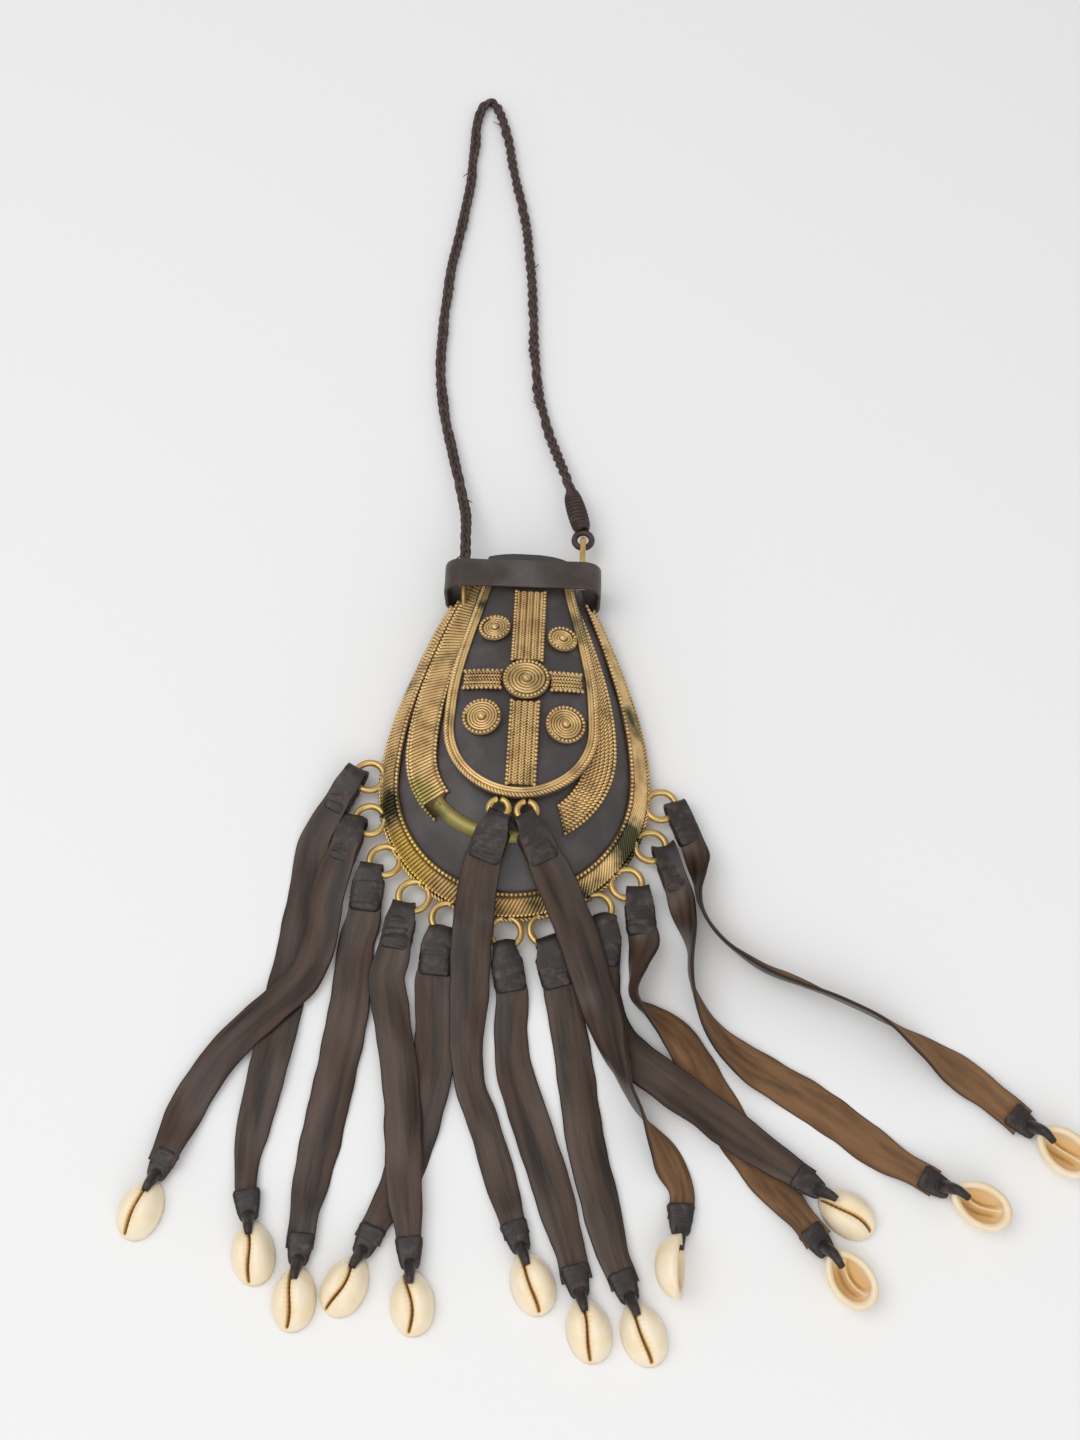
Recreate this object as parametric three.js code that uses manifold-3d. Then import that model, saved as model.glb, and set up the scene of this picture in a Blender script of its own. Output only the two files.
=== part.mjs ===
// Leather tobacco pouch with brass wirework, cowrie fringe and a braided carrying strap.
// Millimetres, +Z up. The pouch lies on its flat back with the front up and the neck towards +Y.
import * as THREE from "three";
import { mergeVertices } from "three/addons/utils/BufferGeometryUtils.js";
import Module from "manifold-3d";

const wasm = await Module();
wasm.setup();

// Driving dimensions
const POUCH_RADIUS = 46.2; // half of the widest width
const POUCH_CENTRE_Y = -22.5; // where the pouch is widest
const MOUTH_Y = 63; // top of the neck
const NECK_HALF = 18.5; // half width of the neck at the mouth
const FRONT_CREST = 25; // height of the domed front above the back
const NECK_CREST = 13; // height of the front at the mouth
const RIM_HEIGHT = 3; // height of the rim, where the front starts
const NECK_LIFT = 2.6; // how far the neck's back rises off the table
const WALL = 2; // leather of the pouch
const BRASS = 1.2; // thickness of the brass bands
const GAP = 0.4; // clearance between touching pieces

const FLAP_X = 2; // the flap sits a little to the right
const FLAP_CENTRE_Y = -8.5;
const FLAP_RADIUS = 26.3;
const FLAP_NECK_HALF = 15;
const FLAP_LIFT = 2.5; // the flap lies over the inner band
const FLAP_THICKNESS = 2;
const WIRE_WIDTH = 2.8;
const WIRE_HEIGHT = 1.5;

const HOOP_LOW_Y = 49.3;
const HOOP_TOP_Y = 60.4;
const HOOP_HALF = 28.4;
const HOOP_HEIGHT = 22.5;
const HOOP_WALL = 1.6;
const HOOP_CORNER = 7;

const LOOP_WIRE = 1; // radius of the brass wire
const LOOP_HALF = 4.6; // half width of a loop, to the wire's centre
const LOOP_ROOT = 48.3; // from the pouch's centre to the root of a rim loop
const LOOP_REACH = 7.8; // from the root to the far side of a loop
const LOOP_HEIGHT = 4.6;

const STRIP_WIDTH = 13;
const STRIP_THICKNESS = 1.4;
const FOLD_RADIUS = LOOP_WIRE + 0.7 + STRIP_THICKNESS / 2;
const FOLD_WIDTH = 6; // the leather is gathered where it goes through a loop
const BINDING = { length: 11, width: 12, thickness: 5 };
const SHELL_BINDING = { length: 9, width: 9, thickness: 4 };
const COWRIE = { length: 19.6, width: 13.8, height: 8.2, wall: 1.7, slit: 1.5 };

const CORD_RADIUS = 2.1;
const CONTOUR_STEPS = 38;

const Z_UP = new THREE.Vector3(0, 0, 1);
const at = (x, y, z) => new THREE.Vector3(x, y, z);
const smooth = (t) => THREE.MathUtils.smoothstep(t, 0, 1);

// Finishes
const finish = (color, roughness, metalness = 0) =>
  new THREE.MeshStandardMaterial({ color, roughness, metalness });
const POUCH_LEATHER = finish(0x3e3434, 0.55);
const STRIP_LEATHER = finish(0x483830, 0.6);
const KEEPER_LEATHER = finish(0x4a3c36, 0.5);
const STRAP_LEATHER = finish(0x4a3632, 0.6);
const ANTIQUE_BRASS = finish(0xa57d41, 0.4, 1);
const LOOP_BRASS = finish(0xbe9b50, 0.3, 1);
const SHELL = finish(0xf2dfbf, 0.3);

// Closed meshes
function closedGeometry(points, triangles) {
  let volume = 0;
  for (const [a, b, c] of triangles) {
    volume += points[a].dot(points[b].clone().cross(points[c]));
  }
  const outward = volume > 0 ? triangles : triangles.map(([a, b, c]) => [a, c, b]);
  const geometry = new THREE.BufferGeometry().setFromPoints(points);
  return geometry.setIndex(outward.flat());
}

function solid(geometry) {
  const bare = new THREE.BufferGeometry();
  bare.setAttribute("position", geometry.getAttribute("position").clone());
  if (geometry.index) bare.setIndex(geometry.index.clone());
  const merged = mergeVertices(bare, 1e-3);
  return new wasm.Manifold(
    new wasm.Mesh({
      numProp: 3,
      vertProperties: merged.attributes.position.array,
      triVerts: new Uint32Array(merged.index.array),
    }),
  );
}

function geometryOf(manifold) {
  const { vertProperties, triVerts } = manifold.getMesh();
  const geometry = new THREE.BufferGeometry();
  geometry.setAttribute("position", new THREE.BufferAttribute(vertProperties, 3));
  return geometry.setIndex(new THREE.BufferAttribute(triVerts, 1));
}

const joined = (...geometries) =>
  geometryOf(geometries.map(solid).reduce((sum, next) => sum.add(next)));
const cutFrom = (body, ...tools) =>
  geometryOf(tools.map(solid).reduce((rest, tool) => rest.subtract(tool), solid(body)));

// A closed loft through convex rings of equal count; opposite faces of a twisted ribbon split alike.
function loft(rings) {
  const count = rings[0].length;
  const last = (rings.length - 1) * count;
  const triangles = [];
  for (let k = 0; k < rings.length - 1; k++) {
    for (let j = 0; j < count; j++) {
      const a = k * count + j;
      const b = k * count + ((j + 1) % count);
      if (j < count / 2) triangles.push([a, b, b + count], [a, b + count, a + count]);
      else triangles.push([a, b, a + count], [b, b + count, a + count]);
    }
  }
  for (let j = 1; j < count - 1; j++) {
    triangles.push([0, j + 1, j], [last, last + j, last + j + 1]);
  }
  return closedGeometry(rings.flat(), triangles);
}

// A closed loft through open pear-shaped contours that all start and end at the mouth.
function contourLoft(contours) {
  const steps = contours[0].length - 1;
  const row = steps + 1;
  const index = (k, i) => k * row + i;
  const triangles = [];
  for (let k = 0; k < contours.length - 1; k++) {
    for (let i = 0; i < steps; i++) {
      triangles.push([index(k, i), index(k, i + 1), index(k + 1, i + 1)]);
      triangles.push([index(k, i), index(k + 1, i + 1), index(k + 1, i)]);
    }
  }
  const fill = (k, flip) => {
    for (let i = 0; i < steps / 2; i++) {
      const quad = [index(k, i), index(k, i + 1), index(k, steps - i - 1), index(k, steps - i)];
      const halves = [[quad[0], quad[1], quad[3]]];
      if (quad[1] !== quad[2]) halves.push([quad[1], quad[2], quad[3]]);
      triangles.push(...(flip ? halves.map(([a, b, c]) => [a, c, b]) : halves));
    }
  };
  fill(0, true);
  fill(contours.length - 1, false);
  const ends = [
    ...contours.map((contour, k) => index(k, 0)),
    ...contours.map((contour, k) => index(contours.length - 1 - k, steps)),
  ];
  const points = contours.flat();
  const flat = ends.map((e) => new THREE.Vector2(points[e].x, points[e].z));
  const winding = Math.sign(THREE.ShapeUtils.area(flat));
  for (const [a, b, c] of THREE.ShapeUtils.triangulateShape(flat, [])) {
    const same = Math.sign(THREE.ShapeUtils.area([flat[a], flat[b], flat[c]])) === winding;
    triangles.push(same ? [ends[a], ends[b], ends[c]] : [ends[a], ends[c], ends[b]]);
  }
  return closedGeometry(points, triangles);
}

// A tube of round section along a smooth path.
function tube(points, radius, steps, sides = 8, tension = 0.5) {
  const section = new THREE.Shape();
  for (let s = 0; s < sides; s++) {
    const angle = (s / sides) * Math.PI * 2;
    const x = radius * Math.cos(angle);
    const y = radius * Math.sin(angle);
    if (s === 0) section.moveTo(x, y);
    else section.lineTo(x, y);
  }
  section.closePath();
  const extrudePath = new THREE.CatmullRomCurve3(points, false, "catmullrom", tension);
  return new THREE.ExtrudeGeometry(section, { steps, extrudePath, bevelEnabled: false });
}

// The pouch's form
const sideCurve = new THREE.CubicBezierCurve(
  new THREE.Vector2(POUCH_RADIUS, POUCH_CENTRE_Y),
  new THREE.Vector2(POUCH_RADIUS, POUCH_CENTRE_Y + 30),
  new THREE.Vector2(NECK_HALF + 9, MOUTH_Y - 20),
  new THREE.Vector2(NECK_HALF, MOUTH_Y),
);

function halfWidth(y) {
  let low = 0;
  let high = 1;
  for (let pass = 0; pass < 30; pass++) {
    const middle = (low + high) / 2;
    if (sideCurve.getPoint(middle).y < y) low = middle;
    else high = middle;
  }
  return sideCurve.getPoint(low).x;
}

const neckShare = (y) => smooth((y - POUCH_CENTRE_Y - 15) / (MOUTH_Y - POUCH_CENTRE_Y - 15));
const backZ = (y) => NECK_LIFT * smooth((y - 15) / 28);
const crestZ = (y) => THREE.MathUtils.lerp(FRONT_CREST, NECK_CREST, neckShare(y));

function frontZ(x, y) {
  const below = y < POUCH_CENTRE_Y;
  const share = below
    ? Math.hypot(x, y - POUCH_CENTRE_Y) / POUCH_RADIUS
    : Math.abs(x) / halfWidth(Math.min(y, MOUTH_Y));
  const swell = Math.pow(Math.max(0, 1 - Math.pow(share, 2.5)), 0.77);
  const rim = RIM_HEIGHT + backZ(y);
  return rim + (crestZ(y) - rim) * swell;
}

// A pear outline: an arc round the bottom and a sweep up each side to the mouth.
function pear({ x = 0, y = POUCH_CENTRE_Y, radius, neck, top = MOUTH_Y, rise = 30, lean = 9, run = 20 }) {
  const path = new THREE.Path();
  path.moveTo(x - neck, top);
  path.bezierCurveTo(x - neck - lean, top - run, x - radius, y + rise, x - radius, y);
  path.absarc(x, y, radius, Math.PI, Math.PI * 2, false);
  path.bezierCurveTo(x + radius, y + rise, x + neck + lean, top - run, x + neck, top);
  return path.getSpacedPoints(CONTOUR_STEPS);
}

const raised = (outline, height) => outline.map((p) => at(p.x, p.y, height(p.x, p.y)));
const onFront = (lift) => (x, y) => frontZ(x, y) + lift;

const RIM = pear({ radius: POUCH_RADIUS, neck: NECK_HALF });
const EDGE_INNER = pear({ radius: 39.3, neck: NECK_HALF - 1.5, lean: 8 });
const BAND_OUTER = pear({ x: -1.4, y: -12.5, radius: 33.5, neck: 14, rise: 24, lean: 8 });
const BAND_INNER = pear({ x: -1.2, y: -15.5, radius: 25, neck: 8, rise: 24, lean: 6 });
const SPINE = pear({ y: -15, radius: 12, neck: 4, rise: 24, lean: 3 });
const rimZ = (x, y) => RIM_HEIGHT + backZ(y);

function pouchBody() {
  const back = pear({ radius: POUCH_RADIUS - 3.5, neck: NECK_HALF - 3 });
  const outside = contourLoft([
    raised(back, (x, y) => backZ(y)),
    raised(RIM, rimZ),
    raised(EDGE_INNER, onFront(0)),
    raised(BAND_OUTER, onFront(0)),
    raised(BAND_INNER, onFront(0)),
    raised(SPINE, onFront(0)),
  ]);
  const through = MOUTH_Y + 2;
  const floorLine = pear({ radius: 40.5, neck: 13.5, top: through });
  const shoulder = pear({ radius: 37.5, neck: 13, top: through });
  const chest = pear({ y: -15, radius: 27, neck: 9, top: through, rise: 24 });
  const ridge = pear({ y: -15, radius: 10, neck: 3, top: through, rise: 24, lean: 3 });
  const hollow = contourLoft([
    raised(floorLine, (x, y) => WALL + backZ(y)),
    raised(shoulder, onFront(-WALL - 1.6)),
    raised(chest, onFront(-WALL - 0.6)),
    raised(ridge, onFront(-WALL - 0.4)),
  ]);
  return cutFrom(outside, hollow);
}

// A brass strip that lies on the front between two contours, from one step to another.
function brassBand(outer, inner, first, last, base = GAP, top = GAP + BRASS) {
  const rings = [];
  for (let i = first; i <= last; i++) {
    const along = outer[Math.min(i + 1, outer.length - 1)].clone().sub(outer[Math.max(i - 1, 0)]);
    const across = inner[i].clone().sub(outer[i]);
    const normal = along.cross(across).normalize();
    if (normal.z < 0) normal.negate();
    const lift = (p, d) => p.clone().addScaledVector(normal, d);
    rings.push([
      lift(outer[i], base),
      lift(outer[i], top),
      lift(inner[i], top),
      lift(inner[i], base),
    ]);
  }
  return loft(rings);
}

const stepBelow = (outline, y) => outline.findIndex((p) => p.y < y);

function edgeBand() {
  const first = stepBelow(RIM, HOOP_LOW_Y - 0.6);
  return brassBand(
    raised(RIM, rimZ),
    raised(EDGE_INNER, onFront(0)),
    first,
    CONTOUR_STEPS - first,
  );
}

const mix = (a, b, share) => a.map((p, i) => p.clone().lerp(b[i], share));

// The inner band is broken: its left half runs on as a bare narrow strip, its right half stops short.
function innerBands() {
  const outer = raised(BAND_OUTER, onFront(0));
  const inner = raised(BAND_INNER, onFront(0));
  const first = stepBelow(BAND_OUTER, HOOP_TOP_Y);
  const leftEnd = Math.round(CONTOUR_STEPS * 0.4);
  const bareEnd = CONTOUR_STEPS / 2;
  const rightEnd = Math.round(CONTOUR_STEPS * 0.57);
  const left = brassBand(outer, inner, first, leftEnd);
  const bareOuter = mix(outer, inner, 0.2);
  const bareInner = mix(outer, inner, 0.7);
  const bare = brassBand(bareOuter, bareInner, leftEnd - 1, bareEnd, GAP + 0.2, GAP + 0.9);
  const right = brassBand(outer, inner, rightEnd, CONTOUR_STEPS - first);
  return [joined(left, bare), right];
}

// The flap and what is set on it
const flapOutline = (inset, top) =>
  pear({
    x: FLAP_X,
    y: FLAP_CENTRE_Y,
    radius: FLAP_RADIUS - inset,
    neck: FLAP_NECK_HALF - inset,
    top,
    rise: 28,
    lean: 4,
    run: 26,
  });
const FLAP_TOP = FLAP_LIFT + FLAP_THICKNESS;
const flapZ = (x, y) => frontZ(x, y) + FLAP_TOP;

function flap() {
  const end = MOUTH_Y + GAP + FLAP_THICKNESS;
  const edge = flapOutline(0, end);
  const middle = flapOutline(9, end);
  const panel = contourLoft([
    raised(middle, onFront(FLAP_LIFT)),
    raised(edge, onFront(FLAP_LIFT)),
    raised(edge, onFront(FLAP_TOP)),
    raised(middle, onFront(FLAP_TOP)),
  ]);
  const cover = new THREE.Shape();
  const half = FLAP_NECK_HALF - 1;
  cover.moveTo(FLAP_X - half, NECK_LIFT + 0.4);
  cover.lineTo(FLAP_X + half, NECK_LIFT + 0.4);
  cover.lineTo(FLAP_X + half, NECK_CREST - 2.6);
  cover.quadraticCurveTo(FLAP_X, NECK_CREST + FLAP_TOP + 5.6, FLAP_X - half, NECK_CREST - 2.6);
  const turn = new THREE.ExtrudeGeometry(cover, {
    depth: FLAP_THICKNESS,
    curveSegments: 8,
    bevelEnabled: false,
  });
  turn.rotateX(Math.PI / 2);
  turn.translate(0, end, 0);
  return joined(panel, turn);
}

function flapEdgeWire() {
  const outer = raised(flapOutline(0.3, HOOP_TOP_Y), onFront(FLAP_TOP));
  const inner = raised(flapOutline(0.3 + WIRE_WIDTH, HOOP_TOP_Y), onFront(FLAP_TOP));
  const rings = outer.map((p, i) => {
    const q = inner[i];
    const crown = p.clone().lerp(q, 0.5);
    return [
      p.clone().addScaledVector(Z_UP, GAP),
      crown.addScaledVector(Z_UP, GAP + WIRE_HEIGHT),
      q.clone().addScaledVector(Z_UP, GAP),
    ];
  });
  return loft(rings);
}

// A flat brass bar laid on the flap from one point to another.
function crossBar(from, to, startWidth, endWidth, steps = 6) {
  const start = new THREE.Vector2(...from);
  const end = new THREE.Vector2(...to);
  const heading = end.clone().sub(start).normalize();
  const side = new THREE.Vector2(-heading.y, heading.x);
  const rings = [];
  for (let k = 0; k <= steps; k++) {
    const share = k / steps;
    const middle = start.clone().lerp(end, share);
    const half = THREE.MathUtils.lerp(startWidth, endWidth, share) / 2;
    const edge = (reach, lift) => {
      const p = middle.clone().addScaledVector(side, reach);
      return at(p.x, p.y, flapZ(p.x, p.y) + GAP + lift);
    };
    rings.push([
      edge(-half, 0.2),
      edge(-half, BRASS),
      edge(0, BRASS + 0.3),
      edge(half, BRASS),
      edge(half, 0.2),
    ]);
  }
  return loft(rings);
}

// A coiled disc with a raised rim and a centre bead, turned to lie on the flap.
function coiledDisc(x, y, radius, height) {
  const profile = [
    [0, 0],
    [radius, 0],
    [radius, height * 0.75],
    [radius * 0.9, height],
    [radius * 0.8, height * 0.72],
    [radius * 0.3, height * 0.95],
    [radius * 0.16, height * 1.5],
    [0, height * 1.6],
  ];
  const disc = new THREE.LatheGeometry(profile.map(([r, z]) => new THREE.Vector2(r, z)), 10);
  disc.rotateX(Math.PI / 2);
  const reach = 2;
  const normal = at(
    flapZ(x - reach, y) - flapZ(x + reach, y),
    flapZ(x, y - reach) - flapZ(x, y + reach),
    2 * reach,
  ).normalize();
  disc.applyQuaternion(new THREE.Quaternion().setFromUnitVectors(Z_UP, normal));
  disc.translate(x, y, flapZ(x, y) + GAP + 0.15);
  return disc;
}

// The keeper band: a flat hoop of leather round the neck.
function roundedBox(half, low, high, corner) {
  const shape = new THREE.Shape();
  shape.moveTo(-half + corner, low);
  shape.lineTo(half - corner, low);
  shape.absarc(half - corner, low + corner, corner, -Math.PI / 2, 0, false);
  shape.absarc(half - corner, high - corner, corner, 0, Math.PI / 2, false);
  shape.absarc(-half + corner, high - corner, corner, Math.PI / 2, Math.PI, false);
  shape.absarc(-half + corner, low + corner, corner, Math.PI, Math.PI * 1.5, false);
  return shape;
}

function keeperBand() {
  const low = 0.2;
  const shape = roundedBox(HOOP_HALF, low, HOOP_HEIGHT, HOOP_CORNER);
  shape.holes.push(
    roundedBox(HOOP_HALF - HOOP_WALL, low + HOOP_WALL, HOOP_HEIGHT - HOOP_WALL, HOOP_CORNER - HOOP_WALL),
  );
  const hoop = new THREE.ExtrudeGeometry(shape, {
    depth: HOOP_TOP_Y - HOOP_LOW_Y,
    curveSegments: 3,
    bevelEnabled: false,
  });
  hoop.rotateX(Math.PI / 2);
  return hoop.translate(0, HOOP_TOP_Y, 0);
}

// Brass loops. A loop is a U of wire: root, direction out and droop.
function wireLoop(root, out, half, reach) {
  const heading = out.clone().normalize();
  const side = at(-heading.y, heading.x, 0).normalize();
  const straight = reach - half;
  const points = [root.clone().addScaledVector(side, -half)];
  for (let k = 0; k <= 6; k++) {
    const angle = -Math.PI / 2 + (k / 6) * Math.PI;
    points.push(
      root
        .clone()
        .addScaledVector(heading, straight + half * Math.cos(angle))
        .addScaledVector(side, half * Math.sin(angle)),
    );
  }
  points.push(root.clone().addScaledVector(side, half));
  return tube(points, LOOP_WIRE, 8, 5, 0.4);
}

const RIM_LOOP_ANGLES = [175.5, 194, 212, 230.5, 246, 269, 284, 305, 320.5, 338.5, 356];
const FLAP_LOOP_X = [-4.2, 5];
const FLAP_LOOP_HALF = 3.2;

function rimLoopPlace(angle) {
  const turn = THREE.MathUtils.degToRad(angle);
  const out = at(Math.cos(turn), Math.sin(turn), 0);
  return { root: at(0, POUCH_CENTRE_Y, LOOP_HEIGHT).addScaledVector(out, LOOP_ROOT), out };
}

function flapLoopPlace(x) {
  const edgeY = FLAP_CENTRE_Y - Math.sqrt((FLAP_RADIUS + 1.6) ** 2 - (x - FLAP_X) ** 2);
  const z = frontZ(x, edgeY) + FLAP_LIFT + 2;
  return { root: at(x, edgeY, z), out: at((x - FLAP_X) * 0.05, -1, -0.05) };
}

const loopTip = ({ root, out }, reach) => root.clone().addScaledVector(out.clone().normalize(), reach);

// Leather strips
// Each station of a route is x, y, z, width and roll in degrees; roll 0 lies grain side up.
function frameAt(centre, along, roll) {
  const level = Z_UP.clone().cross(along).normalize();
  const side = level.applyAxisAngle(along, THREE.MathUtils.degToRad(roll));
  const up = along.clone().cross(side).normalize();
  return { centre, side, up };
}

function ribbonRing({ centre, side, up }, width, thickness) {
  const corner = (s, u) =>
    centre.clone().addScaledVector(side, (s * width) / 2).addScaledVector(up, (u * thickness) / 2);
  return [corner(-1, -1), corner(1, -1), corner(1, 1), corner(-1, 1)];
}

// A bound end: a short swollen sleeve round the leather.
function binding(centre, along, { length, width, thickness }, roll = 0) {
  const shares = [
    [-0.5, 0.85],
    [0, 1],
    [0.5, 0.85],
  ];
  const rings = shares.map(([place, swell]) => {
    const middle = centre.clone().addScaledVector(along, place * length);
    return ribbonRing(frameAt(middle, along, roll), width * swell, thickness * swell);
  });
  return loft(rings);
}

function strip(tip, { route, shell, bound = BINDING.width }) {
  const stations = route.map(([x, y, z, width, roll]) => ({ p: at(x, y, z), width, roll }));
  const heading = stations[0].p.clone().sub(tip);
  const drop = heading.z / Math.hypot(heading.x, heading.y);
  heading.setZ(0).normalize();
  const side = Z_UP.clone().cross(heading);
  const along = heading.clone().setZ(drop).normalize();
  const up = along.clone().cross(side);
  const rings = [];
  const place = (run, rise) => tip.clone().addScaledVector(along, run).addScaledVector(up, rise);
  const fold = (run, rise, width, turn) => {
    const tilt = up.clone().applyAxisAngle(side, turn);
    rings.push(ribbonRing({ centre: place(run, rise), side, up: tilt }, width, STRIP_THICKNESS));
  };
  fold(13, -1.4, bound - 2.5, Math.PI);
  fold(4, -FOLD_RADIUS, 7, Math.PI);
  for (let k = 0; k <= 3; k++) {
    const angle = (k / 3) * Math.PI;
    const run = -FOLD_RADIUS * Math.sin(angle);
    const rise = -FOLD_RADIUS * Math.cos(angle);
    fold(run, rise, FOLD_WIDTH, Math.PI - angle);
  }
  fold(5, FOLD_RADIUS * 0.8, 9, 0);
  fold(11, 0.9, bound - 0.8, 0);
  const last = stations[stations.length - 1];
  const endAlong = at(shell[0] - last.p.x, shell[1] - last.p.y, 0).normalize();
  const endRun = COWRIE.length / 2 + GAP + SHELL_BINDING.length / 2;
  const endCentre = at(shell[0], shell[1], last.p.z).addScaledVector(endAlong, -endRun);
  stations.push({ ...last, p: endCentre });
  stations.forEach(({ p, width, roll }, k) => {
    const next = stations[Math.min(k + 1, stations.length - 1)].p;
    const before = k === 0 ? place(11, 0.9) : stations[k - 1].p;
    const direction = next.clone().sub(before).normalize();
    rings.push(ribbonRing(frameAt(p, direction, roll), width, STRIP_THICKNESS));
  });
  return joined(
    loft(rings),
    binding(place(BINDING.length * 0.5 + 3.6, -0.1), along, { ...BINDING, width: bound }),
    binding(endCentre, endAlong, SHELL_BINDING, last.roll),
  );
}

// Cowries: an egg-shaped shell with a slit along the belly and the back cut open.
function cowrie() {
  const { length, width, height, wall, slit } = COWRIE;
  const egg = (reach, rise, segments, rings) => {
    const shell = new THREE.SphereGeometry(1, segments, rings);
    const place = shell.getAttribute("position");
    for (let i = 0; i < place.count; i++) {
      const y = place.getY(i);
      const taper = 1 + 0.1 * y;
      place.setXYZ(
        i,
        place.getX(i) * (width / 2 - reach) * taper,
        y * (length / 2 - reach),
        place.getZ(i) * (rise - reach),
      );
    }
    return shell;
  };
  const outer = egg(0, height * 0.72, 10, 6).translate(0, 0, height * 0.28);
  const inner = egg(wall, height * 0.72, 6, 4).translate(0, 0, height * 0.22);
  const below = new THREE.BoxGeometry(3 * width, 3 * length, height).translate(0, 0, -height / 2);
  const mouth = new THREE.BoxGeometry(slit, length * 0.76, height).translate(slit * 0.5, 0, height);
  return cutFrom(outer, below, inner, mouth);
}

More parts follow.
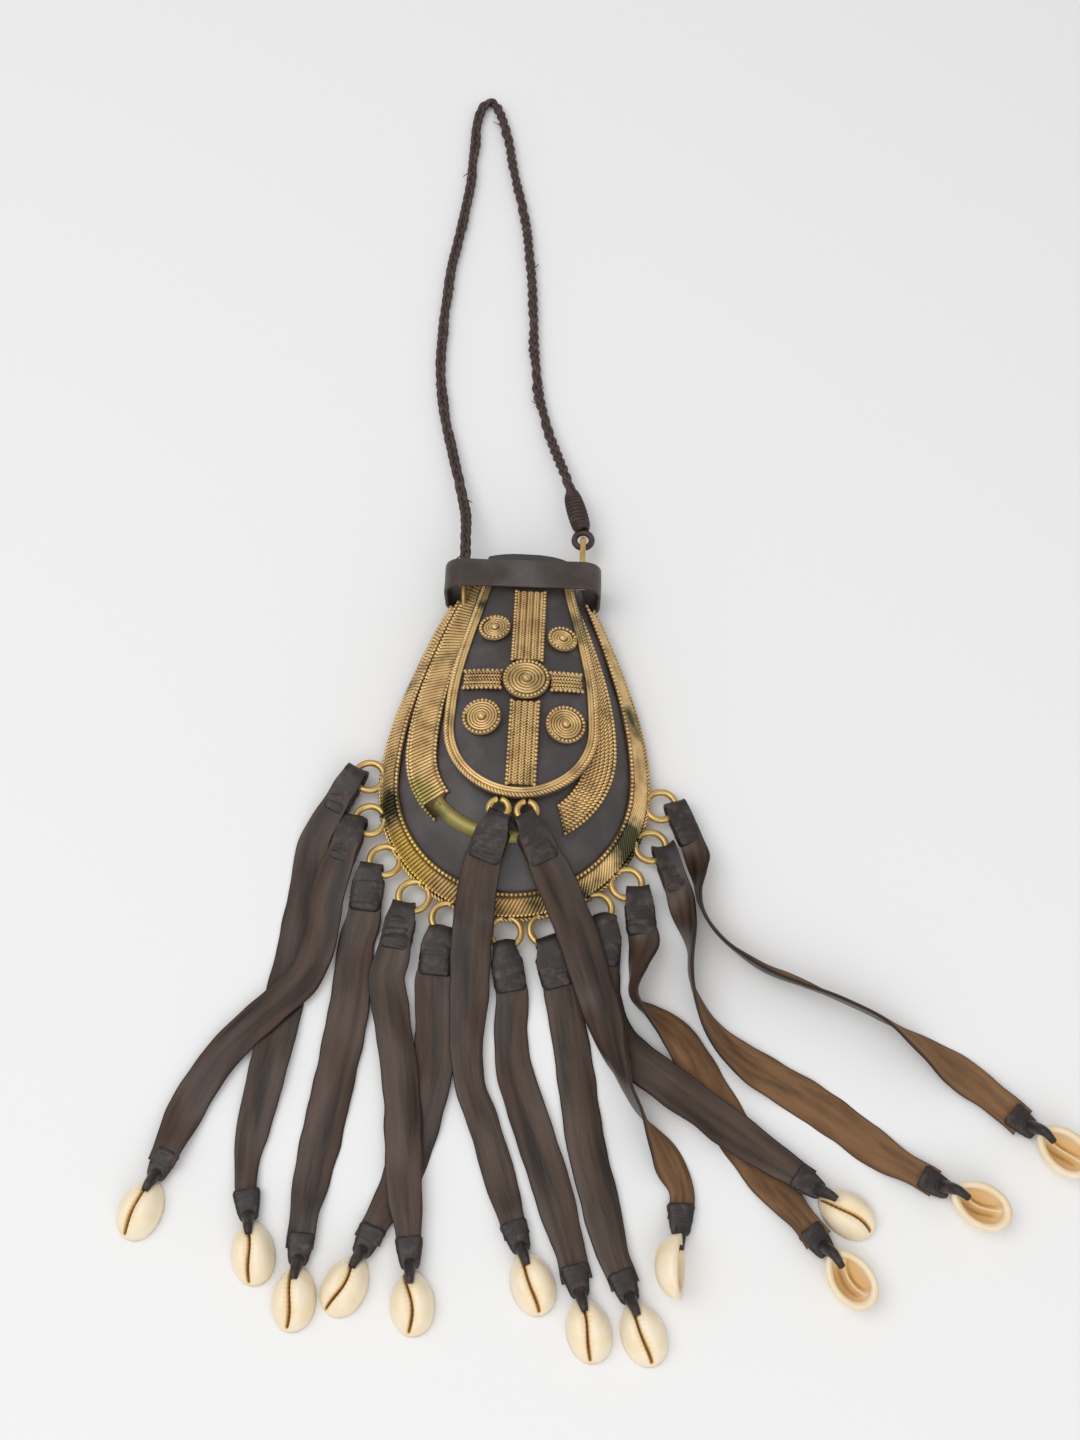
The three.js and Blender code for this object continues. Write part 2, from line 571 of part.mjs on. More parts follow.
// Routes of the strips on the table and over the front, from below the binding to the shell.
const FLAT = STRIP_WIDTH;
const STRIPS = [
  {
    bound: 10,
    route: [[-68.6, -43, 1.4, 11, 0], [-69.4, -65, 1, FLAT, 0], [-72.5, -93, 1, FLAT, 0],
      [-74.5, -111, 1, FLAT, 0], [-77.5, -130, 1, 12, 0], [-79.5, -145, 1.3, 10, 0],
      [-79.5, -157, 2.6, 7, 0]],
    shell: [-75, -179, 0],
  },
  {
    bound: 10.6,
    route: [[-59.5, -54, 5.6, 11.4, 0], [-62, -64, 3.8, 12, 0], [-63.5, -80, 3.3, 12, 0],
      [-67.5, -91, 3.3, 12, 0],
      [-76, -100.5, 3.3, 12, 0], [-86, -111, 3.3, 12, 0], [-95, -123, 2.2, 12, 0],
      [-101.5, -137, 1, 12, 0],
      [-105, -148, 2.4, 9, 0]],
    shell: [-111.5, -167, 0],
  },
  {
    bound: 11.4,
    route: [[-49.4, -71, 2, 11.8, 0], [-51, -80, 1, 12.6, 0], [-51.5, -100, 1, 13.4, 0],
      [-54.6, -126, 1, 13.4, 0], [-58.5, -153, 1, 12.4, 0], [-60, -167, 2.4, 9, 0]],
    shell: [-61, -192, 0],
  },
  {
    bound: 11,
    route: [[-38, -83, 4.6, 11.6, 0], [-39.6, -91, 3.3, 12, 0], [-37.5, -101, 3.3, 12, 0],
      [-34, -117, 3.3, 12, 0],
      [-31.5, -133, 3.3, 12, 0], [-30, -149, 3.5, 12, 0], [-28.5, -161, 4.2, 11, 0],
      [-27, -170, 3.6, 8, 0]],
    shell: [-24.5, -192, 0],
  },
  {
    route: [[-24, -91, 2.2, FLAT, 0], [-23, -103, 1, FLAT, 0], [-22.5, -118, 1, FLAT, 0],
      [-24.5, -132, 1, FLAT, 0],
      [-27.8, -145, 1, FLAT, 0], [-31.5, -157, 1, 12, 0], [-36.6, -167, 2.4, 9, 0]],
    shell: [-45.5, -187.6, 0],
  },
  {
    bound: 11,
    route: [[2.2, -95, 2.2, 11, 0], [2.2, -106, 1, 11, 0], [3.2, -116, 1, 11.6, 0],
      [6.5, -127, 1, 12.4, 0],
      [11, -139, 1, 12.6, 0], [15.5, -151, 1, 12.4, 0], [19.5, -163, 1, 12, 0],
      [23.5, -175, 2.4, 9.6, 0]],
    shell: [29.8, -198, 0],
  },
  {
    route: [[18.6, -93, 2.2, 12, 0], [21, -105, 1, 12.2, 0], [24.5, -123, 1, 12.4, 0],
      [26.8, -139, 1, 12.4, 0],
      [30.5, -153, 1, 12.2, 0], [34, -166, 1, 12, 0], [37.5, -177, 2.4, 9.6, 0]],
    shell: [46.5, -198.5, 0],
  },
  {
    bound: 12,
    route: [[31.8, -86, 2.2, 12, 0], [32.4, -94, 1, 12, 0], [35.4, -104.5, 1, 12.4, 0],
      [42.4, -114, 3.4, FLAT, 0],
      [54.4, -123, 5.4, FLAT, 0], [65, -130, 4.6, FLAT, 0], [75, -137, 4, 12.6, 0],
      [86, -144.5, 4.2, 11, 0],
      [93, -149, 5, 9, 0]],
    shell: [110, -160.5, 0],
  },
  {
    bound: 10.5,
    route: [[45, -76, 6, 11, 30], [43, -85, 6.9, 12, 64], [42, -94, 7, 12.6, 90],
      [48, -100, 6, 12.6, 122],
      [57, -107, 3, 12, 160], [66.5, -121.5, 1, 12.6, 180], [77, -139.5, 1, 12.6, 180],
      [88, -154, 1, 11.6, 180], [95.5, -162.5, 2.4, 9, 180]],
    shell: [109.5, -181, 180],
  },
  {
    bound: 9,
    route: [[58, -61, 6.2, 9.6, 30], [60, -69.5, 6.8, 11, 64], [60.8, -78, 7, 12.6, 88],
      [60.6, -86, 7, 12.6, 92],
      [62, -93, 6.9, 12.6, 102], [66.5, -103, 6.1, 12.6, 122], [74, -111, 4.7, 12.6, 146],
      [87, -118.5, 1.9, 12.6, 176], [105, -129, 1, FLAT, 180],
      [121.5, -141, 1, 12, 180], [129.5, -146, 2.4, 9, 180]],
    shell: [151, -157.5, 180],
  },
  {
    bound: 9,
    route: [[63.5, -45.5, 6.4, 9.6, 40], [64.6, -52, 6.9, 11, 74], [64.4, -59, 7, 12.6, 92],
      [66.8, -66.5, 7, 12.6, 102],
      [73.5, -75, 6.9, 12.6, 106], [84.5, -82.5, 6.6, 12.6, 112], [97, -88, 6.6, 12.6, 112],
      [111.5, -94, 6.9, 12.6, 104], [124, -99.5, 6.6, 12.6, 108], [136, -106.5, 5.6, 12.6, 132],
      [148.5, -115, 2.5, 12.6, 168], [158, -122.5, 2.6, 10, 180]],
    shell: [178.5, -140, 180],
  },
  {
    route: [[-8.8, -54.5, 22.6, 12.6, 0], [-9.8, -59, 19.6, 13.4, 0], [-10.8, -64.5, 15.4, 13.6, 0],
      [-11.4, -71, 10.6, 13.6, 0], [-12, -80, 8, 13.6, 0], [-12, -90, 5.2, 13.2, 0],
      [-12, -100, 3.4, 12.6, 0],
      [-12, -112, 3.2, 11, 0], [-10.3, -124, 2, 10, 0], [-4, -140, 1, 10, 0],
      [2, -157, 1, 10, 0], [4.6, -165, 2.4, 8, 0]],
    shell: [12.2, -185, 0],
  },
  {
    bound: 11.6,
    route: [[11.8, -54.4, 22.7, 12.4, 0], [14.2, -58.2, 19.8, 13.4, 0], [17, -63, 15.8, 13.6, 0],
      [20.8, -70, 11.4, 13.6, 0],
      [24.4, -78.5, 8.6, 13.6, 0], [28.6, -90, 5.6, 13.2, 0], [32.4, -102, 6.4, 12.8, 24],
      [36.4, -115, 8.6, 12.6, 62],
      [40.2, -125, 8, 12.6, 86], [45, -133, 7, 12.6, 96], [50.2, -140.5, 5.8, 12.6, 124],
      [54.6, -147.5, 3.2, 11, 156],
      [58, -155, 2.4, 8, 180]],
    shell: [57.5, -179, 96],
  },
];

function shellPlace(strand) {
  const last = strand.route[strand.route.length - 1];
  const [x, y, turn] = strand.shell;
  const heading = Math.atan2(y - last[1], x - last[0]) - Math.PI / 2;
  const geometry = cowrie();
  geometry.rotateY(THREE.MathUtils.degToRad(turn));
  geometry.computeBoundingBox();
  geometry.translate(0, 0, 0.1 - geometry.boundingBox.min.z);
  geometry.rotateZ(heading);
  return geometry.translate(x, y, 0);
}

// The carrying strap lies on the table in a long narrow loop.
const STRAP_ROUTE = [
  [-21.4, 62.6, 12.4], [-21.8, 72, 10.8], [-22.6, 86, 8], [-25.2, 99.5, 5.6], [-28.6, 113.5, 4],
      [-32, 128, 3],
  [-34.7, 141, 2.5], [-36, 152, 2.3], [-36.8, 163, 2.3], [-36.6, 181, 2.3], [-36, 192, 2.3],
      [-35.2, 206.5, 2.3],
  [-33, 222.5, 2.3], [-31, 238.5, 2.3], [-29.6, 252, 2.3], [-29, 270, 2.3], [-28.6, 284, 2.3],
      [-27, 293, 2.3],
  [-23.8, 297, 2.3], [-20.6, 294.6, 2.3], [-17.7, 287, 2.3], [-14.6, 275, 2.3], [-11.8, 258.5, 2.3],
  [-8.3, 243.5, 2.3], [-5.7, 230.5, 2.3], [-3.5, 213, 2.3], [-1.5, 192.5, 2.3], [-0.4, 173, 2.3],
  [1.5, 153.5, 2.3], [4, 139, 2.7], [8.2, 124, 3.8], [13.2, 109.5, 5.4], [16.2, 99.4, 6.9],
].map((p) => at(...p));
const EYE_X = 21.3;
const EYE_Z = 9;
const LEFT_EYE_Z = 13;
const EYE_HALF = 2.5;
const LEATHER_EYE = { y: 77, ring: 3.2, tube: 1.15 };
const WHIPPING = [[20.9, 81, 9, 2.4], [20.2, 84, 8.8, 3.5], [18.6, 90, 8.1, 3.6],
      [17.2, 95.4, 7.4, 3.1], [16.6, 98, 7.1, 2.3]];

function strapWhipping() {
  const eye = new THREE.TorusGeometry(LEATHER_EYE.ring, LEATHER_EYE.tube, 6, 14);
  eye.translate(EYE_X, LEATHER_EYE.y, EYE_Z);
  const rings = WHIPPING.map(([x, y, z, radius], k) => {
    const next = WHIPPING[Math.min(k + 1, WHIPPING.length - 1)];
    const before = WHIPPING[Math.max(k - 1, 0)];
    const along = at(next[0] - before[0], next[1] - before[1], next[2] - before[2]).normalize();
    const { side, up } = frameAt(at(x, y, z), along, 0);
    return Array.from({ length: 8 }, (unused, s) => {
      const angle = (s / 8) * Math.PI * 2;
      return at(x, y, z)
        .addScaledVector(side, radius * Math.cos(angle))
        .addScaledVector(up, radius * Math.sin(angle));
    });
  });
  return joined(loft(rings), eye);
}

// A long eye of brass wire that stands on edge, its two legs one above the other.
function strapEye(x, z, low, high) {
  const points = [at(x, low, z - EYE_HALF)];
  for (let k = 0; k <= 6; k++) {
    const angle = -Math.PI / 2 + (k / 6) * Math.PI;
    points.push(at(x, high - EYE_HALF * (1 - Math.cos(angle)), z + EYE_HALF * Math.sin(angle)));
  }
  points.push(at(x, low, z + EYE_HALF));
  return tube(points, LOOP_WIRE, 10, 6, 0.4);
}

// Assembly
const pouch = new THREE.Group();
function add(name, geometry, material) {
  const mesh = new THREE.Mesh(geometry, material);
  mesh.name = name;
  pouch.add(mesh);
}
const numbered = (name, k) => name + "_" + String(k + 1).padStart(2, "0");

add("pouch_body", pouchBody(), POUCH_LEATHER);
add("flap", flap(), POUCH_LEATHER);
add("keeper_band", keeperBand(), KEEPER_LEATHER);
add("edge_band", edgeBand(), ANTIQUE_BRASS);
const [leftBand, rightBand] = innerBands();
add("inner_band_left", leftBand, ANTIQUE_BRASS);
add("inner_band_right", rightBand, ANTIQUE_BRASS);
add("flap_edge_wire", flapEdgeWire(), ANTIQUE_BRASS);
add("cross_upper", crossBar([3.1, 48.4], [3, 17.6], 10.8, 10.8), ANTIQUE_BRASS);
add("cross_lower", crossBar([3, 0.2], [2.6, -30.2], 10, 9.6), ANTIQUE_BRASS);
add("cross_arm_left", crossBar([-5.6, 9], [-18.2, 9.4], 7.8, 7.4, 4), ANTIQUE_BRASS);
add("cross_arm_right", crossBar([11.6, 9], [22, 10], 7.8, 7.4, 4), ANTIQUE_BRASS);
add("centre_boss", coiledDisc(3, 9, 8, 1.9), ANTIQUE_BRASS);
const DISCS = [
  [-8.8, 31.6, 5.6],
  [14.8, 28, 5.3],
  [-11.4, -6, 6.7],
  [16.8, -7.6, 6.9],
];
DISCS.forEach(([x, y, radius], k) => add(numbered("disc", k), coiledDisc(x, y, radius, 1.5), ANTIQUE_BRASS));

const loops = [
  ...RIM_LOOP_ANGLES.map((angle) => ({ ...rimLoopPlace(angle), half: LOOP_HALF, reach: LOOP_REACH })),
  ...FLAP_LOOP_X.map((x) => ({ ...flapLoopPlace(x), half: FLAP_LOOP_HALF, reach: 6 })),
];
loops.forEach((loop, k) => {
  add(numbered("loop", k), wireLoop(loop.root, loop.out, loop.half, loop.reach), LOOP_BRASS);
  add(numbered("strip", k), strip(loopTip(loop, loop.reach), STRIPS[k]), STRIP_LEATHER);
  add(numbered("cowrie", k), shellPlace(STRIPS[k]), SHELL);
});

add("strap_cord", tube(STRAP_ROUTE, CORD_RADIUS, 42, 6), STRAP_LEATHER);
add("strap_whipping", strapWhipping(), STRAP_LEATHER);
add("strap_eye_right", strapEye(EYE_X, EYE_Z, 62, LEATHER_EYE.y), LOOP_BRASS);
add("strap_eye_left", strapEye(-21.4, LEFT_EYE_Z, 52, 61), LOOP_BRASS);

export default pouch;
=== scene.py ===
"""Leather tobacco pouch with brass wirework, cowrie fringe and braided strap, laid out on a white table."""

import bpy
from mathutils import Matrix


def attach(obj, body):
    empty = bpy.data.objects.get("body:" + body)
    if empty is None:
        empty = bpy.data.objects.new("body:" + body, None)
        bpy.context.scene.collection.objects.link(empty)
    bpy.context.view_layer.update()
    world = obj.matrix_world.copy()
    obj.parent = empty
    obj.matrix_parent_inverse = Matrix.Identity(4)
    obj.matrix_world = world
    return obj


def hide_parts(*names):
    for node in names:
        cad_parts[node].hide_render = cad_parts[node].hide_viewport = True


bl_info = {
    "name": "Tobacco Pouch",
    "version": (1, 0, 0),
    "blender": (4, 5, 0),
    "location": "View3D > Sidebar > Pouch",
    "description": "Builds a leather tobacco pouch with brass wirework and a cowrie fringe on its CAD frame",
    "category": "Object",
}

import math

import bpy
import numpy as np
from bpy.props import FloatProperty, FloatVectorProperty, PointerProperty
from mathutils import Vector, noise

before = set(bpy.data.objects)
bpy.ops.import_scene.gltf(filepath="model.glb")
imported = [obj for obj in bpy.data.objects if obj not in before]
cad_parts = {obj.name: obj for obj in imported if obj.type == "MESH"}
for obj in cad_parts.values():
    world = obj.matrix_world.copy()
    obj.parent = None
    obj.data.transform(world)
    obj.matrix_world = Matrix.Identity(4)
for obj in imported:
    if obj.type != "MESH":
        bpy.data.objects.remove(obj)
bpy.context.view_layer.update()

# All sizes and places are in metres
UP = np.array((0.0, 0.0, 1.0))
FLOOR = 0.0001
GAP = 0.0004
WIRE_SIDES = 10

# Camera, light and table
CAMERA_PLACE = (0.01675, -0.2489, 0.5501)
CAMERA_AIM = (0.0078, 0.0075, 0.0)
CAMERA_LENS = 42.5
SENSOR_WIDTH = 36.0
CLIP_START = 0.01
CLIP_END = 20.0
ROOM_LIGHT = 0.61
LAMPS = (
    ("key", (-0.7, -0.1, 1.5), 1.3, 10.0),
    ("fill", (0.3, -1.1, 0.9), 1.0, 4.5),
)
TABLE_REACH = 6.0

# Pouch
POUCH_RADIUS = 0.0462
POUCH_CENTRE_Y = -0.0225
MOUTH_Y = 0.063
NECK_HALF = 0.0185
SIDE_RISE = 0.03
SIDE_LEAN = 0.009
SIDE_RUN = 0.02
SIDE_POINTS = 80
PEAR_SIDE_POINTS = 60
PEAR_ARC_POINTS = 120
PEAR_POINTS = 160
FRONT_CREST = 0.025
NECK_CREST = 0.013
CREST_FALL_Y = POUCH_CENTRE_Y + 0.015
SWELL_POWER = 2.5
SWELL_ROUND = 0.77
RIM_HEIGHT = 0.003
NECK_LIFT = 0.0026
NECK_LIFT_Y = 0.015
NECK_LIFT_RUN = 0.028
BACK_INSET = 0.0035
BACK_NECK_INSET = 0.003
POUCH_ROWS = 8
HIDE_SCALE = 130.0
HIDE_RELIEF = 0.0003
SLOPE_REACH = 0.0008
LAY_TILT = 0.15

# Flap
FLAP_X = 0.002
FLAP_CENTRE_Y = -0.0085
FLAP_RADIUS = 0.0263
FLAP_NECK_HALF = 0.015
FLAP_RISE = 0.028
FLAP_LEAN = 0.004
FLAP_RUN = 0.026
FLAP_LIFT = 0.0025
FLAP_TOP = 0.0045
FLAP_END_Y = MOUTH_Y + 0.0024
FLAP_UNDER = ((0.0115, FLAP_LIFT), (0.006, FLAP_LIFT))
FLAP_EDGE = ((0.0005, 0.0032), (0.0, 0.0039), (0.0006, FLAP_TOP))
FLAP_TOP_INSETS = (0.003, 0.006, 0.009, 0.0115)
FLAP_SCALE = 150.0
FLAP_RELIEF = 0.0002
TURN_DOWN_HALF = 0.014
TURN_DOWN_POINTS = 25
TURN_DOWN_THICKNESS = 0.002
TURN_DOWN_OVER = 0.0008

# Keeper band
HOOP_LOW_Y = 0.0493
HOOP_TOP_Y = 0.0604
HOOP_HALF = 0.0284
HOOP_LOW = 0.0002
HOOP_HEIGHT = 0.0225
HOOP_CORNER = 0.007
HOOP_CORNERS = ((1, -1, -90), (1, 1, 0), (-1, 1, 90), (-1, -1, 180))
HOOP_CORNER_POINTS = 12
HOOP_STEP = 0.0012
HOOP_LOW_EDGE = ((0.06, 0), (0.02, -0.0003), (0, -0.0008), (0.02, -0.0013), (0.06, -0.0016))
HOOP_TOP_EDGE = ((0.94, -0.0016), (0.98, -0.0013), (1, -0.0008), (0.98, -0.0003), (0.94, 0))
HOOP_INSIDE = (0.5, -0.0016)
HOOP_OUTSIDE = ((0.72, 0), (0.5, 0), (0.28, 0))
HOOP_PROFILE = (*HOOP_LOW_EDGE, HOOP_INSIDE, *HOOP_TOP_EDGE, *HOOP_OUTSIDE)
HOOP_WANDER = 0.0005
HOOP_WANDER_SCALE = 70
HOOP_DENT = 0.00018
HOOP_DENT_SCALE = 160
HOOP_SHY = 0.0002

# Brass loops
LOOP_ROOT = 0.0483
LOOP_REACH = 0.0078
LOOP_HALF = 0.0052
LOOP_HEIGHT = 0.0046
LOOP_GAP = 0.15
LOOP_POINTS = 33
RIM_LOOP_ANGLES = (175.5, 194, 212, 230.5, 246, 269, 284, 305, 320.5, 338.5, 356)
FLAP_LOOP_X = (-0.0042, 0.005)
FLAP_LOOP_HALF = 0.0032
FLAP_LOOP_REACH = 0.006
FLAP_LOOP_OUT = 0.0016
FLAP_LOOP_LIFT = 0.002
FLAP_LOOP_FAN = 0.05
FLAP_LOOP_DIP = 0.05

# Wirework bands
ROPE_STEPS = 8
ROPE_SIDES = 5
ROPE_OFFSET = 0.5
ROPE_STRAND = 0.56
ROPE_PITCH = 0.0028
ROPE_LIFT = 0.001
BEAD_SPACING = 2.05
BEAD_LIFT = 0.0011
PLATE_LIFT = 0.0008
HATCH_PITCH = 0.00128
HATCH_WIRE = 0.00056
HATCH_LIFT = 0.001
HATCH_MARGIN = 0.1
HATCH_POINTS = 9
EDGE_START_Y = HOOP_LOW_Y - 0.0006
EDGE_ROPE = 0.06
EDGE_HATCH = (0.1, 0.92)
EDGE_BEADS = 0.93
EDGE_SLANT = 0.0045
BAND_SLANT = 0.0065
BAND_BEADS = (0.05, 0.95)
BAND_ROPES = np.linspace(0.17, 0.83, 6)
LEFT_END = 0.405
BARE_PART = (0.39, 0.53)
BARE_ACROSS = (0.2, 0.7)
RIGHT_START = 0.572
FLAP_ROPE = (0.0009, 0.000975, 0.0024)
FLAP_WIRES = ((0.0022, 0.0006), (0.0031, 0.0005))
FLAP_WIRE_LIFT = 0.0008
FLAP_WIRE_SIDES = 7
BRASS_SPOTS = (
    ((-0.0405, -0.031, 0.008), 0.009, "patina"),
    ((0.0395, -0.042, 0.008), 0.0105, "patina"),
    ((-0.035, -0.05, 0.009), 0.014, "wear"),
    ((-0.031, -0.032, 0.016), 0.01, "bare"),
)

# Cross and discs on the flap
BARS = (
    ("cross_upper", (0.0031, 0.0484), (0.003, 0.0176), 0.0108, 8),
    ("cross_lower", (0.003, 0.0002), (0.0026, -0.0302), 0.0098, 8),
    ("cross_arm_left", (-0.0056, 0.009), (-0.0182, 0.0094), 0.0076, 5),
    ("cross_arm_right", (0.0116, 0.009), (0.022, 0.01), 0.0076, 5),
)
BAR_POINTS = 24
BAR_SECTION = ((-0.5, GAP), (-0.5, 0.0009), (0, 0.001), (0.5, 0.0009), (0.5, GAP), (0, GAP))
BAR_BEADS = 0.47
BAR_BEAD_LIFT = 0.0012
BAR_ROPES = 0.37
BAR_ROPE_RADIUS = 0.0007
BAR_ROPE_PITCH = 0.0021
BAR_ROPE_LIFT = 0.0011
DISCS = (
    ("centre_boss", 0.003, 0.009, 0.008, 0.0019, 1.25, 0.0018),
    ("disc_01", -0.0088, 0.0316, 0.0056, 0.0015, 1.0, 0.0013),
    ("disc_02", 0.0148, 0.028, 0.0053, 0.0015, 1.0, 0.0013),
    ("disc_03", -0.0114, -0.006, 0.0067, 0.0015, 1.0, 0.0013),
    ("disc_04", 0.0168, -0.0076, 0.0069, 0.0015, 1.0, 0.0013),
)
DISC_POINTS = 40
DISC_SLOPE = 0.002
DISC_LIFT = GAP + 0.00015
DISC_HOLE = 0.0004
DISC_PLATE = 0.5
COIL_START = 0.0012
COIL_SPARE = 0.0024
COIL_POINTS = 30
COIL_HEIGHT = 0.62
DISC_BEAD_INSET = 0.0006
DISC_BEAD_HEIGHT = 0.7
DISC_BEAD_SHARE = 0.9
DISC_BEAD_POINTS = 60
KNOB_HEIGHT = 0.75

# Carrying strap
STRAP_STEP = 0.0006
PLAIT_PITCH = 0.0135
PLAIT_STRANDS = 3
PLAIT_SWING = 0.00112
PLAIT_LIFT = 0.0006
PLAIT_DRIFT = 0.35
PLAIT_DRIFT_SCALE = 55
SWING_UNEVEN = 0.3
STRAP_WANDER = 0.0003
STRAP_WANDER_SCALE = 90
STRAND_UNEVEN = 0.16
STRAND_SCALE = 160
STRAND_SIDES = 7
HAIR_PLACES = (0.045, 0.052, 0.07, 0.112, 0.19, 0.245, 0.305, 0.352, 0.41, 0.438)
HAIR_REACH = 0.0022
HAIR_SPREAD = 0.0009
HAIR_ROOT = 0.001
HAIR_POINTS = 6
HAIR_BEND = 0.8
HAIR_SIDES = 5
HAIR_RADII = (0.00035, 0.00012)
HAIR_AHEAD = 8
WHIPPING = (
    (0.0209, 0.081, 0.009, 0.0022),
    (0.0202, 0.084, 0.0088, 0.0031),
    (0.0186, 0.09, 0.0081, 0.0033),
    (0.0172, 0.0954, 0.0074, 0.0029),
    (0.0166, 0.0984, 0.0071, 0.0021),
)
WHIPPING_TURNS = 15
WHIPPING_POINTS = 16
WHIPPING_TWINE = 0.0005
EYELET_CENTRE = (0.0213, 0.077, 0.009)
EYELET_RADIUS = 0.0032
EYELET_CORD = 0.00115
STRAP_EYES = (
    ("strap_eye_right", 0.0213, 0.009, 0.062, 0.077, (0.0186, 0.0545, 0.0072)),
    ("strap_eye_left", -0.0214, 0.013, 0.052, 0.061, (-0.021, 0.0465, 0.0085)),
)
EYE_HALF = 0.0025
EYE_WIRE = 0.00105
EYE_FEET = (-0.0008, 0.0012)

# Strips
RIBBON_STEP = 0.0016
RIBBON_ACROSS = np.array((-1, -0.985, -0.93, -0.6, -0.22, 0.22, 0.6, 0.93, 0.985, 1)) / 2
RIBBON_EDGE = np.array((0.35, 0.9, 1, 1, 1, 1, 1, 1, 0.9, 0.35)) / 2
WAVE_REACH = 0.0006
WAVE_SCALE = 70
WAVE_LIMITS = (-0.0007, 0.0016)
CURL_REACH = 0.0012
CURL_TURNS = 60
CAMBER_REACH = 0.0016
CAMBER_SCALE = 26
CAMBER = 0.0002
EDGE_WANDER = 0.0005
EDGE_WANDER_SCALE = 120
FOLD_RADIUS = 0.0024
FOLD_RUN = 0.8 * FOLD_RADIUS
FOLD_LIFT = 0.9 * FOLD_RADIUS
FOLD_WIDTH = 0.0078
FOLD_POINTS = 5
TAIL_END = (0.013, -0.0014)
TAIL_END_SHY = 0.0025
TAIL_START = (0.004, -0.0024, 0.007)
OVER_STATIONS = ((0.005, 0.0019, 0.001), (0.011, 0.0009, 0.0008))
FOLD_STATIONS = 2 + FOLD_POINTS
BOUND_RUN = 0.028
SLEEVE_ROWS = 34
SLEEVE_COLUMNS = 30
SLEEVE_ROUNDING = 0.22
SLEEVE_SQUARE_X = 0.6
SLEEVE_SQUARE_Z = 0.75
WIND_DEPTH = 0.1
CREASE_DEPTH = 0.2
SIDE_CREASE = 0.35
LOOP_BINDING_RUN = 0.0091
LOOP_BINDING_DROP = 0.0001
LOOP_BINDING_LENGTH = 0.0118
LOOP_BINDING_THICKNESS = 0.0049
SHELL_BINDING_LENGTH = 0.0098
SHELL_BINDING_WIDTH = 0.0096
SHELL_BINDING_THICKNESS = 0.0039
SHELL_BINDING_TAPER = 0.62
SHELL_GAP = 0.0049
TONGUE_FACE_UP = ((0.003, 0.0), (0.0055, 0.0026), (0.0075, 0.0042), (0.0095, 0.0046))
TONGUE_FACE_DOWN = ((0.002, 0.001), (0.0046, 0.0054), (0.0068, 0.0068), (0.0102, 0.0052))
TONGUE_ON_EDGE = ((0.003, 0.0), (0.0055, 0.001), (0.0075, 0.0017), (0.0095, 0.0018))
TONGUE_RADII = (0.0022, 0.0011)

# Cowries
COWRIE_LENGTH = 0.0196
COWRIE_WIDTH = 0.0138
COWRIE_HEIGHT = 0.0082
COWRIE_ROWS = 61
COWRIE_COLUMNS = 49
DIP_WIDTH = 0.0021
DIP_DEPTH = 0.0011
SLIT_WIDTH = 0.00036
SLIT_FLARE = 0.0002
SLIT_DEPTH = 0.003
LIP_OFFSET = 0.0009
LIP_WIDTH = 0.0008
TOOTH_HEIGHT = 0.00018
TOOTH_TURNS = 44
RIDGE_OFFSET = 0.0003
RIDGE_WIDTH = 0.0013
RIDGE_HEIGHT = 0.0032
LINE_OFFSET = 0.0022
LINE_WIDTH = 0.0007
HOLLOW_WIDE = 0.72
HOLLOW_LONG = 0.74
HOLLOW_HIGH = 0.84

# Finishes: noise scales, and the ranges of the noise over which a tone comes in
GRAIN_SCALE = 1400.0
GRAIN_DEPTH = 0.0002
LEATHER_GLOSS = 0.45
STREAKS = (26.0, 4.0, 3.0)
STREAK_RANGE = (0.34, 0.78)
PATCHES = (24.0, 2.0, 5.0)
PATCH_RANGE = (0.45, 0.75)
STRIP_EDGE_RANGE = (0.44, 0.5)
STRIP_EDGE_TONE = 0.8
FIBRES = (240.0, 14.0, 3.0)
FIBRE_STRENGTH = 0.22
FIBRE_DEPTH = 0.0004
STRIP_GLOSS = 0.3
FLESH_STREAKS = (70.0, 5.0, 3.0)
FLESH_SHADE = 0.4
# Pointiness over which the painted shade in the brass recesses gives way to bright brass
RECESS_SHADE_RANGE = (0.43, 0.55)
TARNISH_SCALE = 150.0
TARNISH_RANGE = (0.48, 0.76)
TARNISH_SHARE = 0.65
RED_SCALE = 70.0
RED_RANGE = (0.5, 0.9)
RED_TINT = (0.75, 0.58, 0.6)
PATINA_SCALE = 42.0
PATINA_RANGE = (0.58, 0.72)
SPOT_SCALE = 260.0
SPOT_EDGE = 0.5
SPOT_CORE = 0.05
BRASS_METALLIC = 0.75
CROSS_TONE = 0.84
# Backing plates seen between the wires are darkened to this share of the brass: painted shade
PLATE_SHADE_TONE = 0.4
BARE_TONE = 0.7
LOOP_TONE = 0.5
SHELL_SCALE = 160.0
SHELL_RANGE = (0.4, 0.75)
SHELL_TINT = (0.96, 0.9, 0.76)
SHELL_ROUGHNESS = 0.3
SHELL_GLOW = 0.08
SHELL_GLOW_DEPTH = 0.002
TABLE_ROUGHNESS = 0.9
TABLE_GLOSS = 0.1

